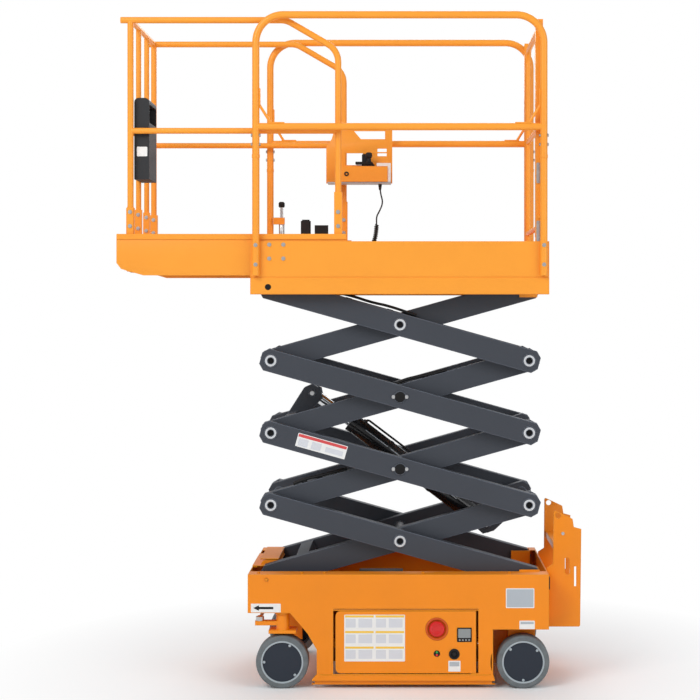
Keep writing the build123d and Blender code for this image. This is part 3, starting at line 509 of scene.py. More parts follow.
def rounded(x, z, radius, steps=5):
    """A rounded rectangle as points in X and Z."""
    points = []
    corners = ((x[1] - radius, z[1] - radius, 0), (x[0] + radius, z[1] - radius, 90),
               (x[0] + radius, z[0] + radius, 180), (x[1] - radius, z[0] + radius, 270))
    for centre_x, centre_z, start in corners:
        for step in range(steps + 1):
            angle = math.radians(start + 90 * step / steps)
            points.append((centre_x + radius * math.cos(angle), centre_z + radius * math.sin(angle)))
    return points


def square_outline(x, z):
    return [(x[0], z[0]), (x[1], z[0]), (x[1], z[1]), (x[0], z[1])]


def close_between(shape, low, high, finish=0):
    """Faces that close a plate between two loops of corners."""
    faces = [shape.faces.new(low), shape.faces.new(high)]
    for step in range(len(low)):
        after = (step + 1) % len(low)
        faces.append(shape.faces.new((low[step], low[after], high[after], high[step])))
    for face in faces:
        face.material_index = finish


def slab(shape, outline, y, finish=0, turn=None):
    """A plate with an X and Z outline between two places across the machine."""
    low, high = ([shape.verts.new((px, place, pz)) for px, pz in outline] for place in y)
    close_between(shape, low, high, finish)
    if turn:
        centre, angle = turn
        bmesh.ops.rotate(shape, verts=low + high, cent=centre, matrix=Matrix.Rotation(angle, 3, "Y"))


def brick(shape, x, y, z, edge=0.0, finish=0):
    """A bar between limits on each axis; edges at the last points in the shape's order are eased."""
    start = len(shape.verts)
    slab(shape, square_outline(x, z), y, finish)
    if edge:
        shape.verts.ensure_lookup_table()
        last = set(list(shape.verts)[start:])
        edges = [line for line in shape.edges if line.verts[0] in last]
        bmesh.ops.bevel(shape, geom=edges, offset=edge, segments=2, affect="EDGES", clamp_overlap=True)


def cut_plate(outline, holes, y, edge=0.0006):
    """Sheet metal with holes cut in it, standing square to Y."""
    flat = bpy.data.curves.new("plate_outline", "CURVE")
    flat.dimensions = "2D"
    flat.fill_mode = "BOTH"
    for loop in [outline, *holes]:
        spline = flat.splines.new("POLY")
        spline.points.add(len(loop) - 1)
        for target, (px, pz) in zip(spline.points, loop):
            target.co = (px, pz, 0.0, 1.0)
        spline.use_cyclic_u = True
    flat.extrude = abs(y[1] - y[0]) / 2 - edge
    flat.bevel_depth = edge
    flat.bevel_resolution = 1
    flat.offset = -edge
    mesh = taken_mesh(placed("plate_outline", flat))
    upright = Matrix.Rotation(math.radians(90), 4, "X")
    mesh.transform(Matrix.Translation((0, (y[0] + y[1]) / 2, 0)) @ upright)
    return mesh


def joined(meshes):
    """Several meshes as one bmesh."""
    shape = bmesh.new()
    for mesh in meshes:
        shape.from_mesh(mesh)
    bmesh.ops.remove_doubles(shape, verts=shape.verts, dist=1e-6)
    return shape


def pipe(points, radius):
    """A bent pipe or a clipped hose as a mesh."""
    return taken_mesh(spline_curve("pipe_guide", points, radius, black_plastic, sides=3, steps=8))


# Pieces that repeat, stamped by node trees
def stamp_tree(name, sizes, axis, build):
    """A tree that stamps one small piece on points, with its axis turned to each point's facing."""
    tree = bpy.data.node_groups.new(name, "GeometryNodeTree")
    for socket, kind in (("Places", "Geometry"), *sizes, ("Finish", "Material")):
        tree.interface.new_socket(socket, in_out="INPUT", socket_type="NodeSocket" + kind)
    tree.interface.new_socket("Pieces", in_out="OUTPUT", socket_type="NodeSocketGeometry")
    nodes = Nodes(tree)
    given = nodes.node("NodeGroupInput").outputs
    facing = nodes.node("GeometryNodeInputNamedAttribute", data_type="FLOAT_VECTOR", Name="facing")
    aim = nodes.node("FunctionNodeAlignRotationToVector", axis=axis, Vector=facing.outputs["Attribute"])
    stamp = nodes.node("GeometryNodeInstanceOnPoints", Points=given["Places"],
                       Rotation=aim.outputs["Rotation"], **build(nodes, given))
    real = nodes.node("GeometryNodeRealizeInstances", Geometry=stamp.outputs["Instances"])
    finish = nodes.node("GeometryNodeSetMaterial", Geometry=real.outputs["Geometry"],
                        Material=given["Finish"])
    nodes.wire(finish.outputs["Geometry"], nodes.node("NodeGroupOutput").inputs[0])
    return tree


def bolt_head(nodes, given):
    """A washer with a hexagon head on it."""
    def drum(vertices, radius, depth, lift=None):
        body = nodes.node("GeometryNodeMeshCylinder", Vertices=vertices, Radius=given[radius],
                          Depth=given[depth])
        middle = nodes.node("ShaderNodeMath", operation="MULTIPLY_ADD", Value=given[depth])
        middle.inputs[1].default_value = 0.5
        middle.inputs[2].default_value = 0.0
        if lift:
            nodes.wire(given[lift], middle.inputs[2])
        place = nodes.node("ShaderNodeCombineXYZ", Z=middle.outputs[0])
        move = nodes.node("GeometryNodeTransform", Geometry=body.outputs["Mesh"],
                          Translation=place.outputs[0])
        return move.outputs["Geometry"]

    stack = nodes.node("GeometryNodeJoinGeometry")
    nodes.wire(drum(16, "Washer radius", "Washer depth"), stack.inputs[0])
    nodes.wire(drum(6, "Head radius", "Head depth", "Washer depth"), stack.inputs[0])
    return {"Instance": stack.outputs[0]}


def tread_bar(nodes, given):
    """One lozenge of chequer plate."""
    lozenge = nodes.node("GeometryNodeMeshUVSphere", Segments=8, Rings=4, Radius=0.5)
    return {"Instance": lozenge.outputs["Mesh"], "Scale": given["Bar size"]}


BOLT_SHARES = {"Washer radius": 0.72, "Washer depth": 0.12, "Head radius": 0.55, "Head depth": 0.36}
BOLTS = stamp_tree("bolt_heads", [(size, "Float") for size in BOLT_SHARES], "Z", bolt_head)
TREAD = stamp_tree("tread_bars", [("Bar size", "Vector")], "X", tread_bar)
TREAD_BAR = (0.024, 0.006, 0.0022)
TREAD_PITCH = 0.032


def stamped(name, body, spots, tree, sizes, slot):
    """One mesh of a tree's pieces, set at (place, facing) pairs on one body."""
    points = bpy.data.meshes.new(name)
    points.from_pydata([place for place, direction in spots], [], [])
    facing = points.attributes.new("facing", "FLOAT_VECTOR", "POINT")
    for target, (place, direction) in zip(facing.data, spots):
        target.vector = direction
    holder = placed(name, points)
    modifier = holder.modifiers.new("stamp", "NODES")
    modifier.node_group = tree
    for socket in tree.interface.items_tree:
        if socket.in_out == "INPUT" and socket.name in sizes:
            modifier[socket.identifier] = sizes[socket.name]
    return finished(name, body, taken_mesh(holder), slot, materials=[sizes["Finish"]])


def bolts(name, body, spots, across, material=zinc):
    """Hexagon bolts with washers, each at a place and facing a way."""
    sizes = {size: across * share for size, share in BOLT_SHARES.items()}
    return stamped(name, body, spots, BOLTS, {**sizes, "Finish": material}, "grey_steel")


def tread(name, body, x, y, z):
    """Lozenge bars in a chequered lay over a floor."""
    spots = []
    for row in range(int((y[1] - y[0]) / TREAD_PITCH)):
        for column in range(int((x[1] - x[0]) / TREAD_PITCH)):
            slant = 1 if (row + column) % 2 else -1
            place = (x[0] + (column + 0.5) * TREAD_PITCH, y[0] + (row + 0.5) * TREAD_PITCH, z)
            spots.append((place, (1, slant, 0)))
    sizes = {"Bar size": TREAD_BAR, "Finish": platform_paint}
    stamped(name, body, spots, TREAD, sizes, "platform_paint")


# Cord fittings, and the lead between them
GLAND_SECTION = [(0, 0), (0.019, 0), (0.019, 0.004), (0.015, 0.005), (0.015, 0.011), (0.011, 0.016),
                 (0.0045, 0.024), (0, 0.024)]
RELIEF_SECTION = [(0, 0.004), (0.0085, 0.004), (0.0085, -0.006), (0.0055, -0.026), (0.0046, -0.028),
                  (0, -0.028)]
shape = bmesh.new()
turned(shape, GLAND_SECTION, (GLAND_X, CABLE_Y, DECK_FLOOR), UP_WAY)
gland_piece = finished("cord_gland", "extension", shape, "black_plastic", ["cable_gland"])
shape = bmesh.new()
turned(shape, RELIEF_SECTION, plain_route[0], UP_WAY)
relief_piece = finished("cord_relief", "extension", shape, "black_plastic")
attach(lead, "extension")
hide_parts("control_cable", "curly_cable")
spline_length(lead_points)

# Ground controls: stop button, display, key socket and two indicator lamps in the near door
SUNK = 0.0157
STOP = (MID + 0.161, NEAR, 0.260)
SOCKET = (MID + 0.237, NEAR, 0.151)
LAMP_X = MID + 0.161
STOP_COLLAR = [(0.016, -SUNK), (0.0497, -SUNK), (0.0497, 0.001), (0.048, 0.0028), (0.043, 0.0028),
               (0.036, -0.006), (0.016, -0.006), (0.016, -SUNK)]
STOP_BUTTON = [(0, -0.007), (0.020, -0.007), (0.022, -0.001), (0.0335, -0.001), (0.034, 0.0005),
               (0.031, 0.0040), (0.022, 0.0058), (0.0205, 0.0050), (0, 0.0048)]
SOCKET_COLLAR = [(0.009, -SUNK), (0.0232, -SUNK), (0.0232, 0.0015), (0.021, 0.0035), (0.016, 0.0035),
                 (0.0145, -0.004), (0.009, -0.004), (0.009, -SUNK)]
SOCKET_CORE = [(0, -SUNK), (0.009, -SUNK), (0.009, 0.0015), (0.0075, 0.003), (0, 0.003)]
LAMP_DOME = dome_profile(0.0055, 0.004, 0.003)
KEY_DOME = dome_profile(0.0042, 0.0022, 0.001)
KEY_PITCH = 0.0137
ring_ink, stop_ink, screen_ink, black_ink, green_ink, red_ink = range(6)
shape = bmesh.new()
turned(shape, STOP_COLLAR, STOP, NEAR_WAY, ring_ink, 56)
turned(shape, STOP_BUTTON, STOP, NEAR_WAY, stop_ink, 56)
display_case = rounded(span(0.2493, 0.3127), (0.2043, 0.2657), 0.004)
slab(shape, display_case, (NEAR - 0.0012, NEAR + SUNK), black_ink)
display_glass = rounded(span(0.254, 0.308), (0.222, 0.261), 0.003)
slab(shape, display_glass, (NEAR - 0.0018, NEAR + 0.004), screen_ink)
for column in range(4):
    key_place = (MID + 0.2605 + column * KEY_PITCH, NEAR - 0.0008, 0.2125)
    turned(shape, KEY_DOME, key_place, NEAR_WAY, screen_ink, 16)
turned(shape, SOCKET_COLLAR, SOCKET, NEAR_WAY, black_ink)
turned(shape, SOCKET_CORE, SOCKET, NEAR_WAY, black_ink)
turned(shape, disc_profile(0.0137, -SUNK, 0.0008), (LAMP_X, NEAR, 0.153), NEAR_WAY, black_ink)
for lamp_z, ink in ((0.1590, green_ink), (0.1470, red_ink)):
    turned(shape, LAMP_DOME, (LAMP_X, NEAR - 0.0006, lamp_z), NEAR_WAY, ink, 20)
finished("ground_panel", "tray_near", shape, "red_plastic", ["ground_controls"],
         [stop_rim, red_plastic, display_grey, black_plastic, lamp_lens_green, red_plastic])

# Plates and stickers without words
LABEL_INKS = [label_white, label_yellow, label_grey, label_black, label_red, label_pale]
WHITE, YELLOW, GREY, BLACK, RED, PALE = range(6)
SHEET_THICK = 0.0006
PRINT_THICK = SHEET_THICK + 0.0003
SHEET_SUNK = 0.0001


def label(name, body, parts, y, turn=None):
    """A thin label: its base sheet first, then printed fields, each a little prouder."""
    shape = bmesh.new()
    sign = -1 if y < 0 else 1
    for index, (x, z, radius, ink) in enumerate(parts):
        thick = PRINT_THICK if index else SHEET_THICK
        outline = rounded(x, z, radius) if radius else square_outline(x, z)
        slab(shape, outline, (y - sign * SHEET_SUNK, y + sign * thick), ink, turn)
    return finished(name, body, shape, "grey_plastic", materials=LABEL_INKS)


# The sheet on the near door: three rows of two cells, each with a bar and two pale fields
sheet_x, sheet_z = span(-0.243, 0.022), (0.119, 0.323)
row_height = (sheet_z[1] - sheet_z[0]) / 3
column_width = (sheet_x[1] - sheet_x[0]) / 2
fields = [(sheet_x, sheet_z, 0.004, WHITE)]
for row in range(3):
    top = sheet_z[1] - row * row_height
    field_z = (top - 0.056, top - 0.018)
    for column in range(2):
        left = sheet_x[0] + column * column_width
        fields.append(((left + 0.004, left + column_width - 0.004), (top - 0.012, top - 0.003), 0, YELLOW))
        fields.append(((left + 0.006, left + 0.050), field_z, 0.003, PALE))
        fields.append(((left + 0.062, left + 0.122), field_z, 0.003, PALE))
label("door_sheet", "tray_near", fields, NEAR)
label("door_small_plate", "tray_near",
      [(span(0.211, 0.264), (0.075, 0.122), 0.003, WHITE),
       (span(0.216, 0.259), (0.098, 0.117), 0.002, GREY)], NEAR)
TRAVEL_ARROW = [(-0.640, 0.352), (-0.615, 0.364), (-0.615, 0.357), (-0.552, 0.357), (-0.552, 0.347),
                (-0.615, 0.347), (-0.615, 0.340)]
for side, name, way in SIDES:
    y = side * HALF_WIDTH
    shape = bmesh.new()
    arrow_sheet = rounded(span(-0.650, -0.520), (0.333, 0.371), 0.002)
    slab(shape, arrow_sheet, (y - side * SHEET_SUNK, y + side * SHEET_THICK), WHITE)
    slab(shape, in_place(TRAVEL_ARROW), (y - side * SHEET_SUNK, y + side * PRINT_THICK), BLACK)
    finished(f"travel_arrow_{name}", "chassis", shape, "grey_plastic", materials=LABEL_INKS)
label("maker_plate_blank", "chassis",
      [(span(0.462, 0.586), (0.352, 0.438), 0.004, WHITE),
       (span(0.466, 0.582), (0.356, 0.434), 0.003, GREY)], NEAR)
label("rear_small_plate", "chassis",
      [(span(0.521, 0.588), (0.260, 0.297), 0.003, WHITE),
       (span(0.526, 0.583), (0.282, 0.292), 0.001, GREY)], NEAR)
arm_x = MID - 0.347
label("arm_sheet", "outer_2",
      [((arm_x - 0.113, arm_x + 0.113), (1.020, 1.080), 0.002, WHITE),
       ((arm_x - 0.110, arm_x + 0.110), (1.064, 1.077), 0, RED),
       ((arm_x - 0.104, arm_x - 0.060), (1.025, 1.058), 0.002, PALE),
       ((arm_x - 0.044, arm_x + 0.000), (1.025, 1.058), 0.002, PALE),
       ((arm_x + 0.020, arm_x + 0.100), (1.030, 1.052), 0.002, PALE)],
      -OUTER_FACE, ((arm_x, -OUTER_FACE, 1.050), ARM_ANGLE))

# Wheels: the light ring round the disc, and its three clips
WHEEL_Z = 0.115
CLIP_CIRCLE = 0.079
RIM_SECTION = [(0.0855, -0.0044), (0.0925, -0.0044), (0.0925, 0.0), (0.0915, 0.0008), (0.0868, 0.0008),
               (0.0855, -0.0005), (0.0855, -0.0044)]
CLIP_SECTION = [(0, -0.0041), (0.006, -0.0041), (0.006, -0.0022), (0.004, -0.0010), (0, -0.0010)]
WHEELS = (("front", MID - 0.514, (180, 315, 65)), ("rear", MID + 0.538, (135, 40, 270)))
for end, axle_x, clip_angles in WHEELS:
    for side, name, way in SIDES:
        y = side * HALF_WIDTH
        shape = bmesh.new()
        turned(shape, RIM_SECTION, (axle_x, y, WHEEL_Z), way, 0, 72)
        for angle in map(math.radians, clip_angles):
            clip = (axle_x + CLIP_CIRCLE * math.cos(angle), y, WHEEL_Z + CLIP_CIRCLE * math.sin(angle))
            turned(shape, CLIP_SECTION, clip, way, 0, 16)
        finished(f"rim_trim_{end}_{name}", f"wheel_{end}_{name}", shape, "wheel_paint", materials=[rim_light])

# Scissor pins: bright rings round a near-black disc sunk in each bore as painted shade, and dark plugs with
# locking bolts at the two middle crossings
PIN_RING = ring_profile(0.0162, 0.0250, 0.0018, 0.0006)
# A near-black disc down in each pin's hole: painted shade in the bore
PIN_BORE = disc_profile(0.0127, -0.012, -0.010)
PIN_COLLAR = [(0.0262, -0.0038), (0.031, -0.0038), (0.031, -0.0020), (0.0262, -0.0010), (0.0262, -0.0038)]
PIN_PLUG = [(0, -0.001), (0.0235, -0.001), (0.0235, 0.0005), (0.021, 0.0018), (0, 0.0018)]
TAB_INNER, TAB_OUTER = 0.2899, 0.2935
bright_ink, bore_ink, arm_ink = range(3)
for level in range(1, 5):
    base = BOTTOM_PIN + (level - 1) * RISE
    spots = [(MID, base + RISE / 2, level in (1, 4))]
    if level > 1:
        spots.append((MID - HALF_SPAN, base, True))
    if level < 4:
        spots.append((MID + HALF_SPAN, base + RISE, True))
    shape = bmesh.new()
    locks = []
    for side, name, way in SIDES:
        for pin_x, pin_z, ringed in spots:
            centre = (pin_x, side * PIN_END, pin_z)
            if ringed:
                turned(shape, PIN_RING, centre, way, bright_ink)
                # Painted shade in the pin's bore
                turned(shape, PIN_BORE, centre, way, bore_ink, 24)
                turned(shape, PIN_COLLAR, centre, way, arm_ink)
            else:
                turned(shape, PIN_PLUG, centre, way, bore_ink)
                tab = square_outline((pin_x - 0.036, pin_x + 0.036), (pin_z - 0.010, pin_z + 0.010))
                slab(shape, tab, beside(side, TAB_INNER, TAB_OUTER), arm_ink)
                locks += [((pin_x + step, side * TAB_OUTER, pin_z), way) for step in (-0.029, 0.029)]
    finished(f"pin_ends_{level}", f"inner_{level}", shape, "grey_steel",
             materials=[pin_ring, hole_black, arm_paint])
    if locks:
        bolts(f"pin_locks_{level}", f"inner_{level}", locks, 0.0115)
shape = bmesh.new()
for side, name, way in SIDES:
    base_pin = (MID + HALF_SPAN, side * 0.308, BOTTOM_PIN)
    turned(shape, ring_profile(0.0162, 0.0250, 0.0016, 0.0006), base_pin, way)
finished("pin_ends_base", "chassis", shape, "grey_steel", materials=[pin_ring])
# Near-black discs on the platform frame that stand for the open sight holes: painted shade in the holes
shape = bmesh.new()
for side, name, way in SIDES:
    turned(shape, disc_profile(0.0135, 0, 0.0008), (MID - 0.578, side * 0.3520, 1.752), way, 0, 28)
finished("roller_sights", "platform", shape, "black_paint", materials=[hole_black])

# Lift cylinder: hard pipe above the barrel, its fittings, bands, the gland nut, and a thin pale strip along
# the barrel as a painted highlight
slope = Vector((math.cos(ARM_ANGLE), 0, math.sin(ARM_ANGLE)))
square = Vector((-math.sin(ARM_ANGLE), 0, math.cos(ARM_ANGLE)))
foot = Vector((MID - HALF_SPAN, 0, BOTTOM_PIN)) + slope * 0.983 - square * 0.069
head = Vector((MID - HALF_SPAN, 0, BOTTOM_PIN + 2 * RISE)) + slope * 0.206 + square * 0.111
line = (head - foot).normalized()
above = Vector((line.z, 0, -line.x))
if above.z < 0:
    above = -above
PORTS = (0.120, 0.725)
PORT_OFF, PIPE_OFF = 0.038, 0.054
FITTING = [(0, 0.036), (0.011, 0.036), (0.011, 0.046), (0.009, 0.048), (0, 0.048)]
GLAND_NUT = [(0.0421, 0.0), (0.0448, 0.002), (0.0448, 0.030), (0.0421, 0.032), (0.0421, 0.0)]
PIN_HEAD = [(0, -0.002), (0.021, -0.002), (0.021, 0.003), (0.019, 0.004), (0, 0.004)]
pipe_points = [foot + line * PORTS[0] + above * PORT_OFF]
pipe_points += [foot + line * run + above * PIPE_OFF for run in (PORTS[0], 0.150, 0.400, 0.690, PORTS[1])]
pipe_points.append(foot + line * PORTS[1] + above * PORT_OFF)
shape = joined([pipe(pipe_points, 0.005)])
for run in PORTS:
    turned(shape, FITTING, foot + line * run, above, 0, 6)
for run in (0.30, 0.56):
    turned(shape, ring_profile(0.0421, 0.0440, 0.016, 0.0006), foot + line * run, line, 0, 48)
turned(shape, GLAND_NUT, foot + line * 0.748, line, 0, 48)
finished("barrel_fittings", "barrel", shape, "black_paint")
shape = bmesh.new()
# A thin pale strip along the near top of the barrel: a painted highlight of light on the glossy barrel
highlight_offset = Vector((0, -0.0405, 0)) + above * 0.0125
half_highlight_width = above * 0.0022
start, end = foot + line * 0.18 + highlight_offset, foot + line * 0.70 + highlight_offset
corners = [start - half_highlight_width, end - half_highlight_width, end + half_highlight_width, start + half_highlight_width]
low = [shape.verts.new(corner) for corner in corners]
high = [shape.verts.new(corner + Vector((0, -0.0012, 0.0002))) for corner in corners]
close_between(shape, low, high)
finished("barrel_painted_highlight", "barrel", shape, "black_paint", materials=[label_grey])
shape = bmesh.new()
for side, name, way in SIDES:
    turned(shape, PIN_HEAD, foot + Vector((0, side * 0.042, 0)), way, 0, 32)
finished("foot_pin_heads", "inner_1", shape, "arm_paint")
for name, body, pin, out in (("foot_bolts", "inner_1", foot, 0.046), ("head_bolts", "inner_3", head, 0.0502)):
    bolts(name, body, [(pin + Vector((0, side * out, 0)), way) for side, _, way in SIDES], 0.014)

# Hoses clipped along the arms, each pair on one arm frame: level, slope, place across, and
# places on the arm as (along it, above its middle line)
HOSES = (
    ("hoses_4", "outer_4", 4, -1, -0.262,
     [(-0.330, 0.058), (-0.250, 0.066), (-0.150, 0.060), (-0.060, 0.067), (0.060, 0.058)]),
    ("hoses_3", "inner_3", 3, 1, -0.206,
     [(-0.010, 0.054), (0.030, 0.063), (0.075, 0.063), (0.130, 0.057), (0.230, 0.055)]),
    ("hoses_1", "inner_2", 2, 1, -0.206,
     [(-0.480, 0.056), (-0.430, 0.063), (-0.360, 0.058), (-0.230, 0.057)]),
)
HOSE_R, HOSE_PITCH = 0.0055, 0.016
for name, body, level, rise_sign, y, spots in HOSES:
    middle = Vector((MID, 0, BOTTOM_PIN + (level - 0.5) * RISE))
    along = Vector((math.cos(ARM_ANGLE), 0, rise_sign * math.sin(ARM_ANGLE)))
    up = Vector((-along.z, 0, along.x))
    meshes = []
    for shift in (0.0, HOSE_PITCH):
        aside = Vector((0, y + shift, 0))
        meshes.append(pipe([middle + along * s + up * (h + shift * 0.1) + aside for s, h in spots], HOSE_R))
    shape = joined(meshes)
    for s, h in (spots[1], spots[-2]):
        clip = middle + along * s + up * 0.050 + Vector((0, y + HOSE_PITCH / 2, 0))
        turned(shape, disc_profile(0.014, -0.001, 0.004), clip, up, 0, 12)
    finished(name, body, shape, "black_plastic")

# Entry ladder: slotted side plates with folded treads between them
LADDER_HALF = 0.2262
LADDER_OUTLINE = [(0.654, 0.240), (0.798, 0.240), (0.803, 0.246), (0.808, 0.675), (0.775, 0.684),
                  (0.769, 0.720), (0.690, 0.757), (0.684, 0.752), (0.682, 0.520), (0.654, 0.502)]
HAND_SLOT = [(0.735, 0.545), (0.752, 0.545), (0.757, 0.500), (0.757, 0.478), (0.746, 0.470), (0.735, 0.478)]
LONG_SLOT = [(0.776, 0.508), (0.785, 0.508), (0.785, 0.420), (0.776, 0.420)]
TIE_HOLE = [(0.7045 + 0.012 * math.cos(angle), 0.7346 + 0.012 * math.sin(angle))
            for angle in map(math.radians, range(0, 360, 15))]
ladder_holes = [in_place(hole) for hole in (HAND_SLOT, LONG_SLOT, TIE_HOLE)]
shape = joined([cut_plate(in_place(LADDER_OUTLINE), ladder_holes, beside(side, 0.226, 0.230))
                for side, name, way in SIDES])
tread_x, ladder_y = span(0.690, 0.798), (-LADDER_HALF, LADDER_HALF)
for tread_z in (0.330, 0.600):
    brick(shape, tread_x, ladder_y, (tread_z - 0.003, tread_z), 0.001)
    for lip in ((tread_x[0], tread_x[0] + 0.003), (tread_x[1] - 0.003, tread_x[1])):
        brick(shape, lip, ladder_y, (tread_z - 0.028, tread_z - 0.001), 0.001)
brick(shape, span(0.6502, 0.6545), ladder_y, (0.300, 0.492), 0.001)
finished("entry_ladder", "chassis", shape, "chassis_paint", ["ladder"])
bolts("ladder_bolts", "chassis", [((MID + 0.726, side * 0.230, 0.655), way) for side, _, way in SIDES], 0.010)

# Low cover over the steering, with an overhanging lid
shape = bmesh.new()
nose_x = MID - 0.664
cover = [(0.040, 0.4985), (0.116, 0.4985), (0.116, 0.530), (0.062, 0.530), (0.048, 0.524), (0.040, 0.512)]
slab(shape, [(nose_x + x, z) for x, z in cover], (-0.165, 0.165))
for lid_start, lid_z in ((0.036, (0.5295, 0.534)), (0.0, (0.4984, 0.503))):
    brick(shape, (nose_x + lid_start, nose_x + 0.119), (-0.170, 0.170), lid_z, 0.0015)
finished("steering_cover", "chassis", shape, "chassis_paint", ["front_cover"])
flange_bolts = []
for side, name, way in SIDES:
    for bolt_x in (-0.620, -0.430, -0.330, 0.100, 0.480):
        flange_bolts.append(((MID + bolt_x, side * 0.340, 0.498), UP_WAY))
    flange_bolts.append(((MID - 0.582, side * HALF_WIDTH, 0.476), way))
bolts("flange_bolts", "chassis", flange_bolts, 0.012, chassis_paint)
shape = bmesh.new()
for side, name, way in SIDES:
    brick(shape, span(0.650, 0.6545), beside(side, 0.330, 0.378), (0.432, 0.486), 0.0015)
finished("rear_buffers", "chassis", shape, "black_plastic")

# Lower sills along the body, outside the pothole guards
SILL = [(-0.363, 0.064), (-0.384, 0.040), (-0.384, 0.034), (0.414, 0.034), (0.414, 0.040), (0.406, 0.064)]
shape = bmesh.new()
for side, name, way in SIDES:
    slab(shape, in_place(SILL), beside(side, 0.3785, 0.3815))
    brick(shape, span(-0.350, 0.395), beside(side, 0.3800, 0.3830), (0.0585, 0.0625), 0.001)
finished("body_sills", "chassis", shape, "chassis_paint")

# Deck side frames: a proud band that throws the seam under the toe boards
shape = bmesh.new()
for side, name, way in SIDES:
    brick(shape, span(-0.656, 0.654), beside(side, 0.3475, 0.3520), (1.720, 1.7945), 0.003)
finished("deck_bands", "platform", shape, "platform_paint")

# Bolts on the platform: four through each toe board's front, and pairs at the foot and joint of each post
deck_bolts = []
for side, name, way in SIDES:
    for bolt_x, bolt_z in ((-0.573, 1.938), (-0.511, 1.938), (-0.573, 1.877), (-0.511, 1.877)):
        deck_bolts.append(((MID + bolt_x, side * 0.3477, bolt_z), way))
    for post in RAIL_POSTS:
        for bolt_z in (1.935, 1.850):
            deck_bolts.append(((MID + post, side * 0.3789, bolt_z), way))
        for bolt_z in (2.375, 2.415):
            for way_x in (-1, 1):
                deck_bolts.append(((MID + post + way_x * 0.0152, side * RAIL_Y, bolt_z), (way_x, 0, 0)))
bolts("platform_bolts", "platform", deck_bolts, 0.0125)

# Joint collars on the main rails' posts, and the braces' tabs
COLLAR = [(0.0155, 0), (0.0175, 0.001), (0.0175, 0.015), (0.0155, 0.016), (0.0155, 0)]
shape = bmesh.new()
for side, name, way in SIDES:
    for post, inward in zip(RAIL_POSTS, (1, -1)):
        turned(shape, COLLAR, (MID + post, side * RAIL_Y, 2.316), UP_WAY, 0, 36)
        for near_end, far_end, tab_z in ((0.0150, 0.0205, (2.545, 2.620)), (0.055, 0.125, (2.4675, 2.4725))):
            x = sorted((MID + post + inward * near_end, MID + post + inward * far_end))
            brick(shape, x, beside(side, 0.355, 0.373), tab_z, 0.001)
finished("rail_collars", "platform", shape, "platform_paint")

# Gate hinges in bright steel on the near gate post
HINGES = (1.998, 2.253)
HINGE_X, HINGE_FACE = MID + 0.612, -0.3375
BARREL = [(0, -0.044), (0.0125, -0.044), (0.0130, -0.040), (0.0130, -0.032), (0, -0.032)]
shape = bmesh.new()
hinge_bolts = []
for z in HINGES:
    leaf = rounded(span(0.599, 0.625), (z - 0.045, z + 0.045), 0.004)
    slab(shape, leaf, (-0.3340, HINGE_FACE))
    turned(shape, BARREL, (HINGE_X, -0.278, z), UP_WAY, 0, 28)
    hinge_bolts += [((HINGE_X, HINGE_FACE, z + step), NEAR_WAY) for step in (-0.030, 0.0, 0.030)]
finished("hinge_leaves", "platform", shape, "grey_steel")
bolts("hinge_bolts", "platform", hinge_bolts, 0.010)
shape = bmesh.new()
for z in HINGES:
    gate_leaf = rounded(span(0.6035, 0.6205), (z + 0.002, z + 0.026), 0.002)
    slab(shape, gate_leaf, (-0.2655, -0.2515))
finished("gate_leaves", "gate", shape, "grey_steel")

# Roll-out deck: boards with a sloped nose and a folded hem, floor, post sockets
EXT_FRONT, EXT_REAR = MID - 1.245, MID - 0.236
BOARD_TOP, BOARD_LOW, NOSE_TOP = 1.984, 1.8035, 1.858
FLOOR_LOW = 1.816
FLOOR_HALF = 0.3305
deck_y = (-FLOOR_HALF, FLOOR_HALF)
BOARD = [(EXT_FRONT, BOARD_TOP), (EXT_FRONT, NOSE_TOP), (EXT_FRONT + 0.020, 1.832),
         (EXT_FRONT + 0.118, BOARD_LOW), (EXT_REAR, BOARD_LOW), (EXT_REAR, BOARD_TOP)]
shape = joined([cut_plate(BOARD, [], beside(side, 0.331, 0.335)) for side, name, way in SIDES])
brick(shape, (EXT_FRONT, EXT_FRONT + 0.004), (-0.3309, 0.3309), (NOSE_TOP, BOARD_TOP))
for side, name, way in SIDES:
    brick(shape, (EXT_FRONT + 0.002, EXT_REAR), beside(side, 0.3352, 0.3392), (1.962, 1.9855), 0.0012)
brick(shape, (EXT_FRONT, EXT_FRONT + 0.014), (-0.331, 0.331), (1.9805, 1.9855), 0.001)
finished("deck_boards", "extension", shape, "platform_paint", ["extension_toe_board"])
shape = bmesh.new()
brick(shape, (EXT_FRONT + 0.062, MID - 0.120), deck_y, (FLOOR_LOW, DECK_FLOOR))
nose = [(0.0005, NOSE_TOP), (0.021, 1.8325), (0.064, FLOOR_LOW), (0.066, DECK_FLOOR), (0.023, 1.8365),
        (0.0045, NOSE_TOP)]
slab(shape, [(EXT_FRONT + x, z) for x, z in nose], deck_y)
for x in (MID - 0.626, MID - 0.306):
    for side, name, way in SIDES:
        brick(shape, (x, x + 0.060), beside(side, 0.275, 0.315), (1.8103, 1.8165))
brick(shape, (EXT_FRONT + 0.118, EXT_REAR), (-FLOOR_HALF, -0.3265), (1.8045, 1.817))
brick(shape, (EXT_FRONT + 0.118, MID - 0.660), (0.3265, FLOOR_HALF), (1.8045, 1.817))
finished("deck_floor_sheet", "extension", shape, "platform_paint", ["extension_deck"])
POST_SOCKETS = ((-1.186, 0.3167, 0.0175, 2.105), (-1.186, 0.110, 0.0150, 2.105),
                (-0.272, 0.3167, 0.0175, 2.170))
shape = bmesh.new()
socket_bolts = []
for side, name, way in SIDES:
    for post_x, post_y, half, top in POST_SOCKETS:
        y = (side * post_y - half * 0.80, side * post_y + half * 0.80)
        brick(shape, span(post_x - half, post_x + half), y, (1.8205, top), 0.004)
        socket_bolts += [((MID + post_x, y[0], bolt_z), NEAR_WAY) for bolt_z in (2.020, 2.082)]
finished("post_sockets", "extension", shape, "platform_paint")
bolts("socket_bolts", "extension", socket_bolts, 0.0125)

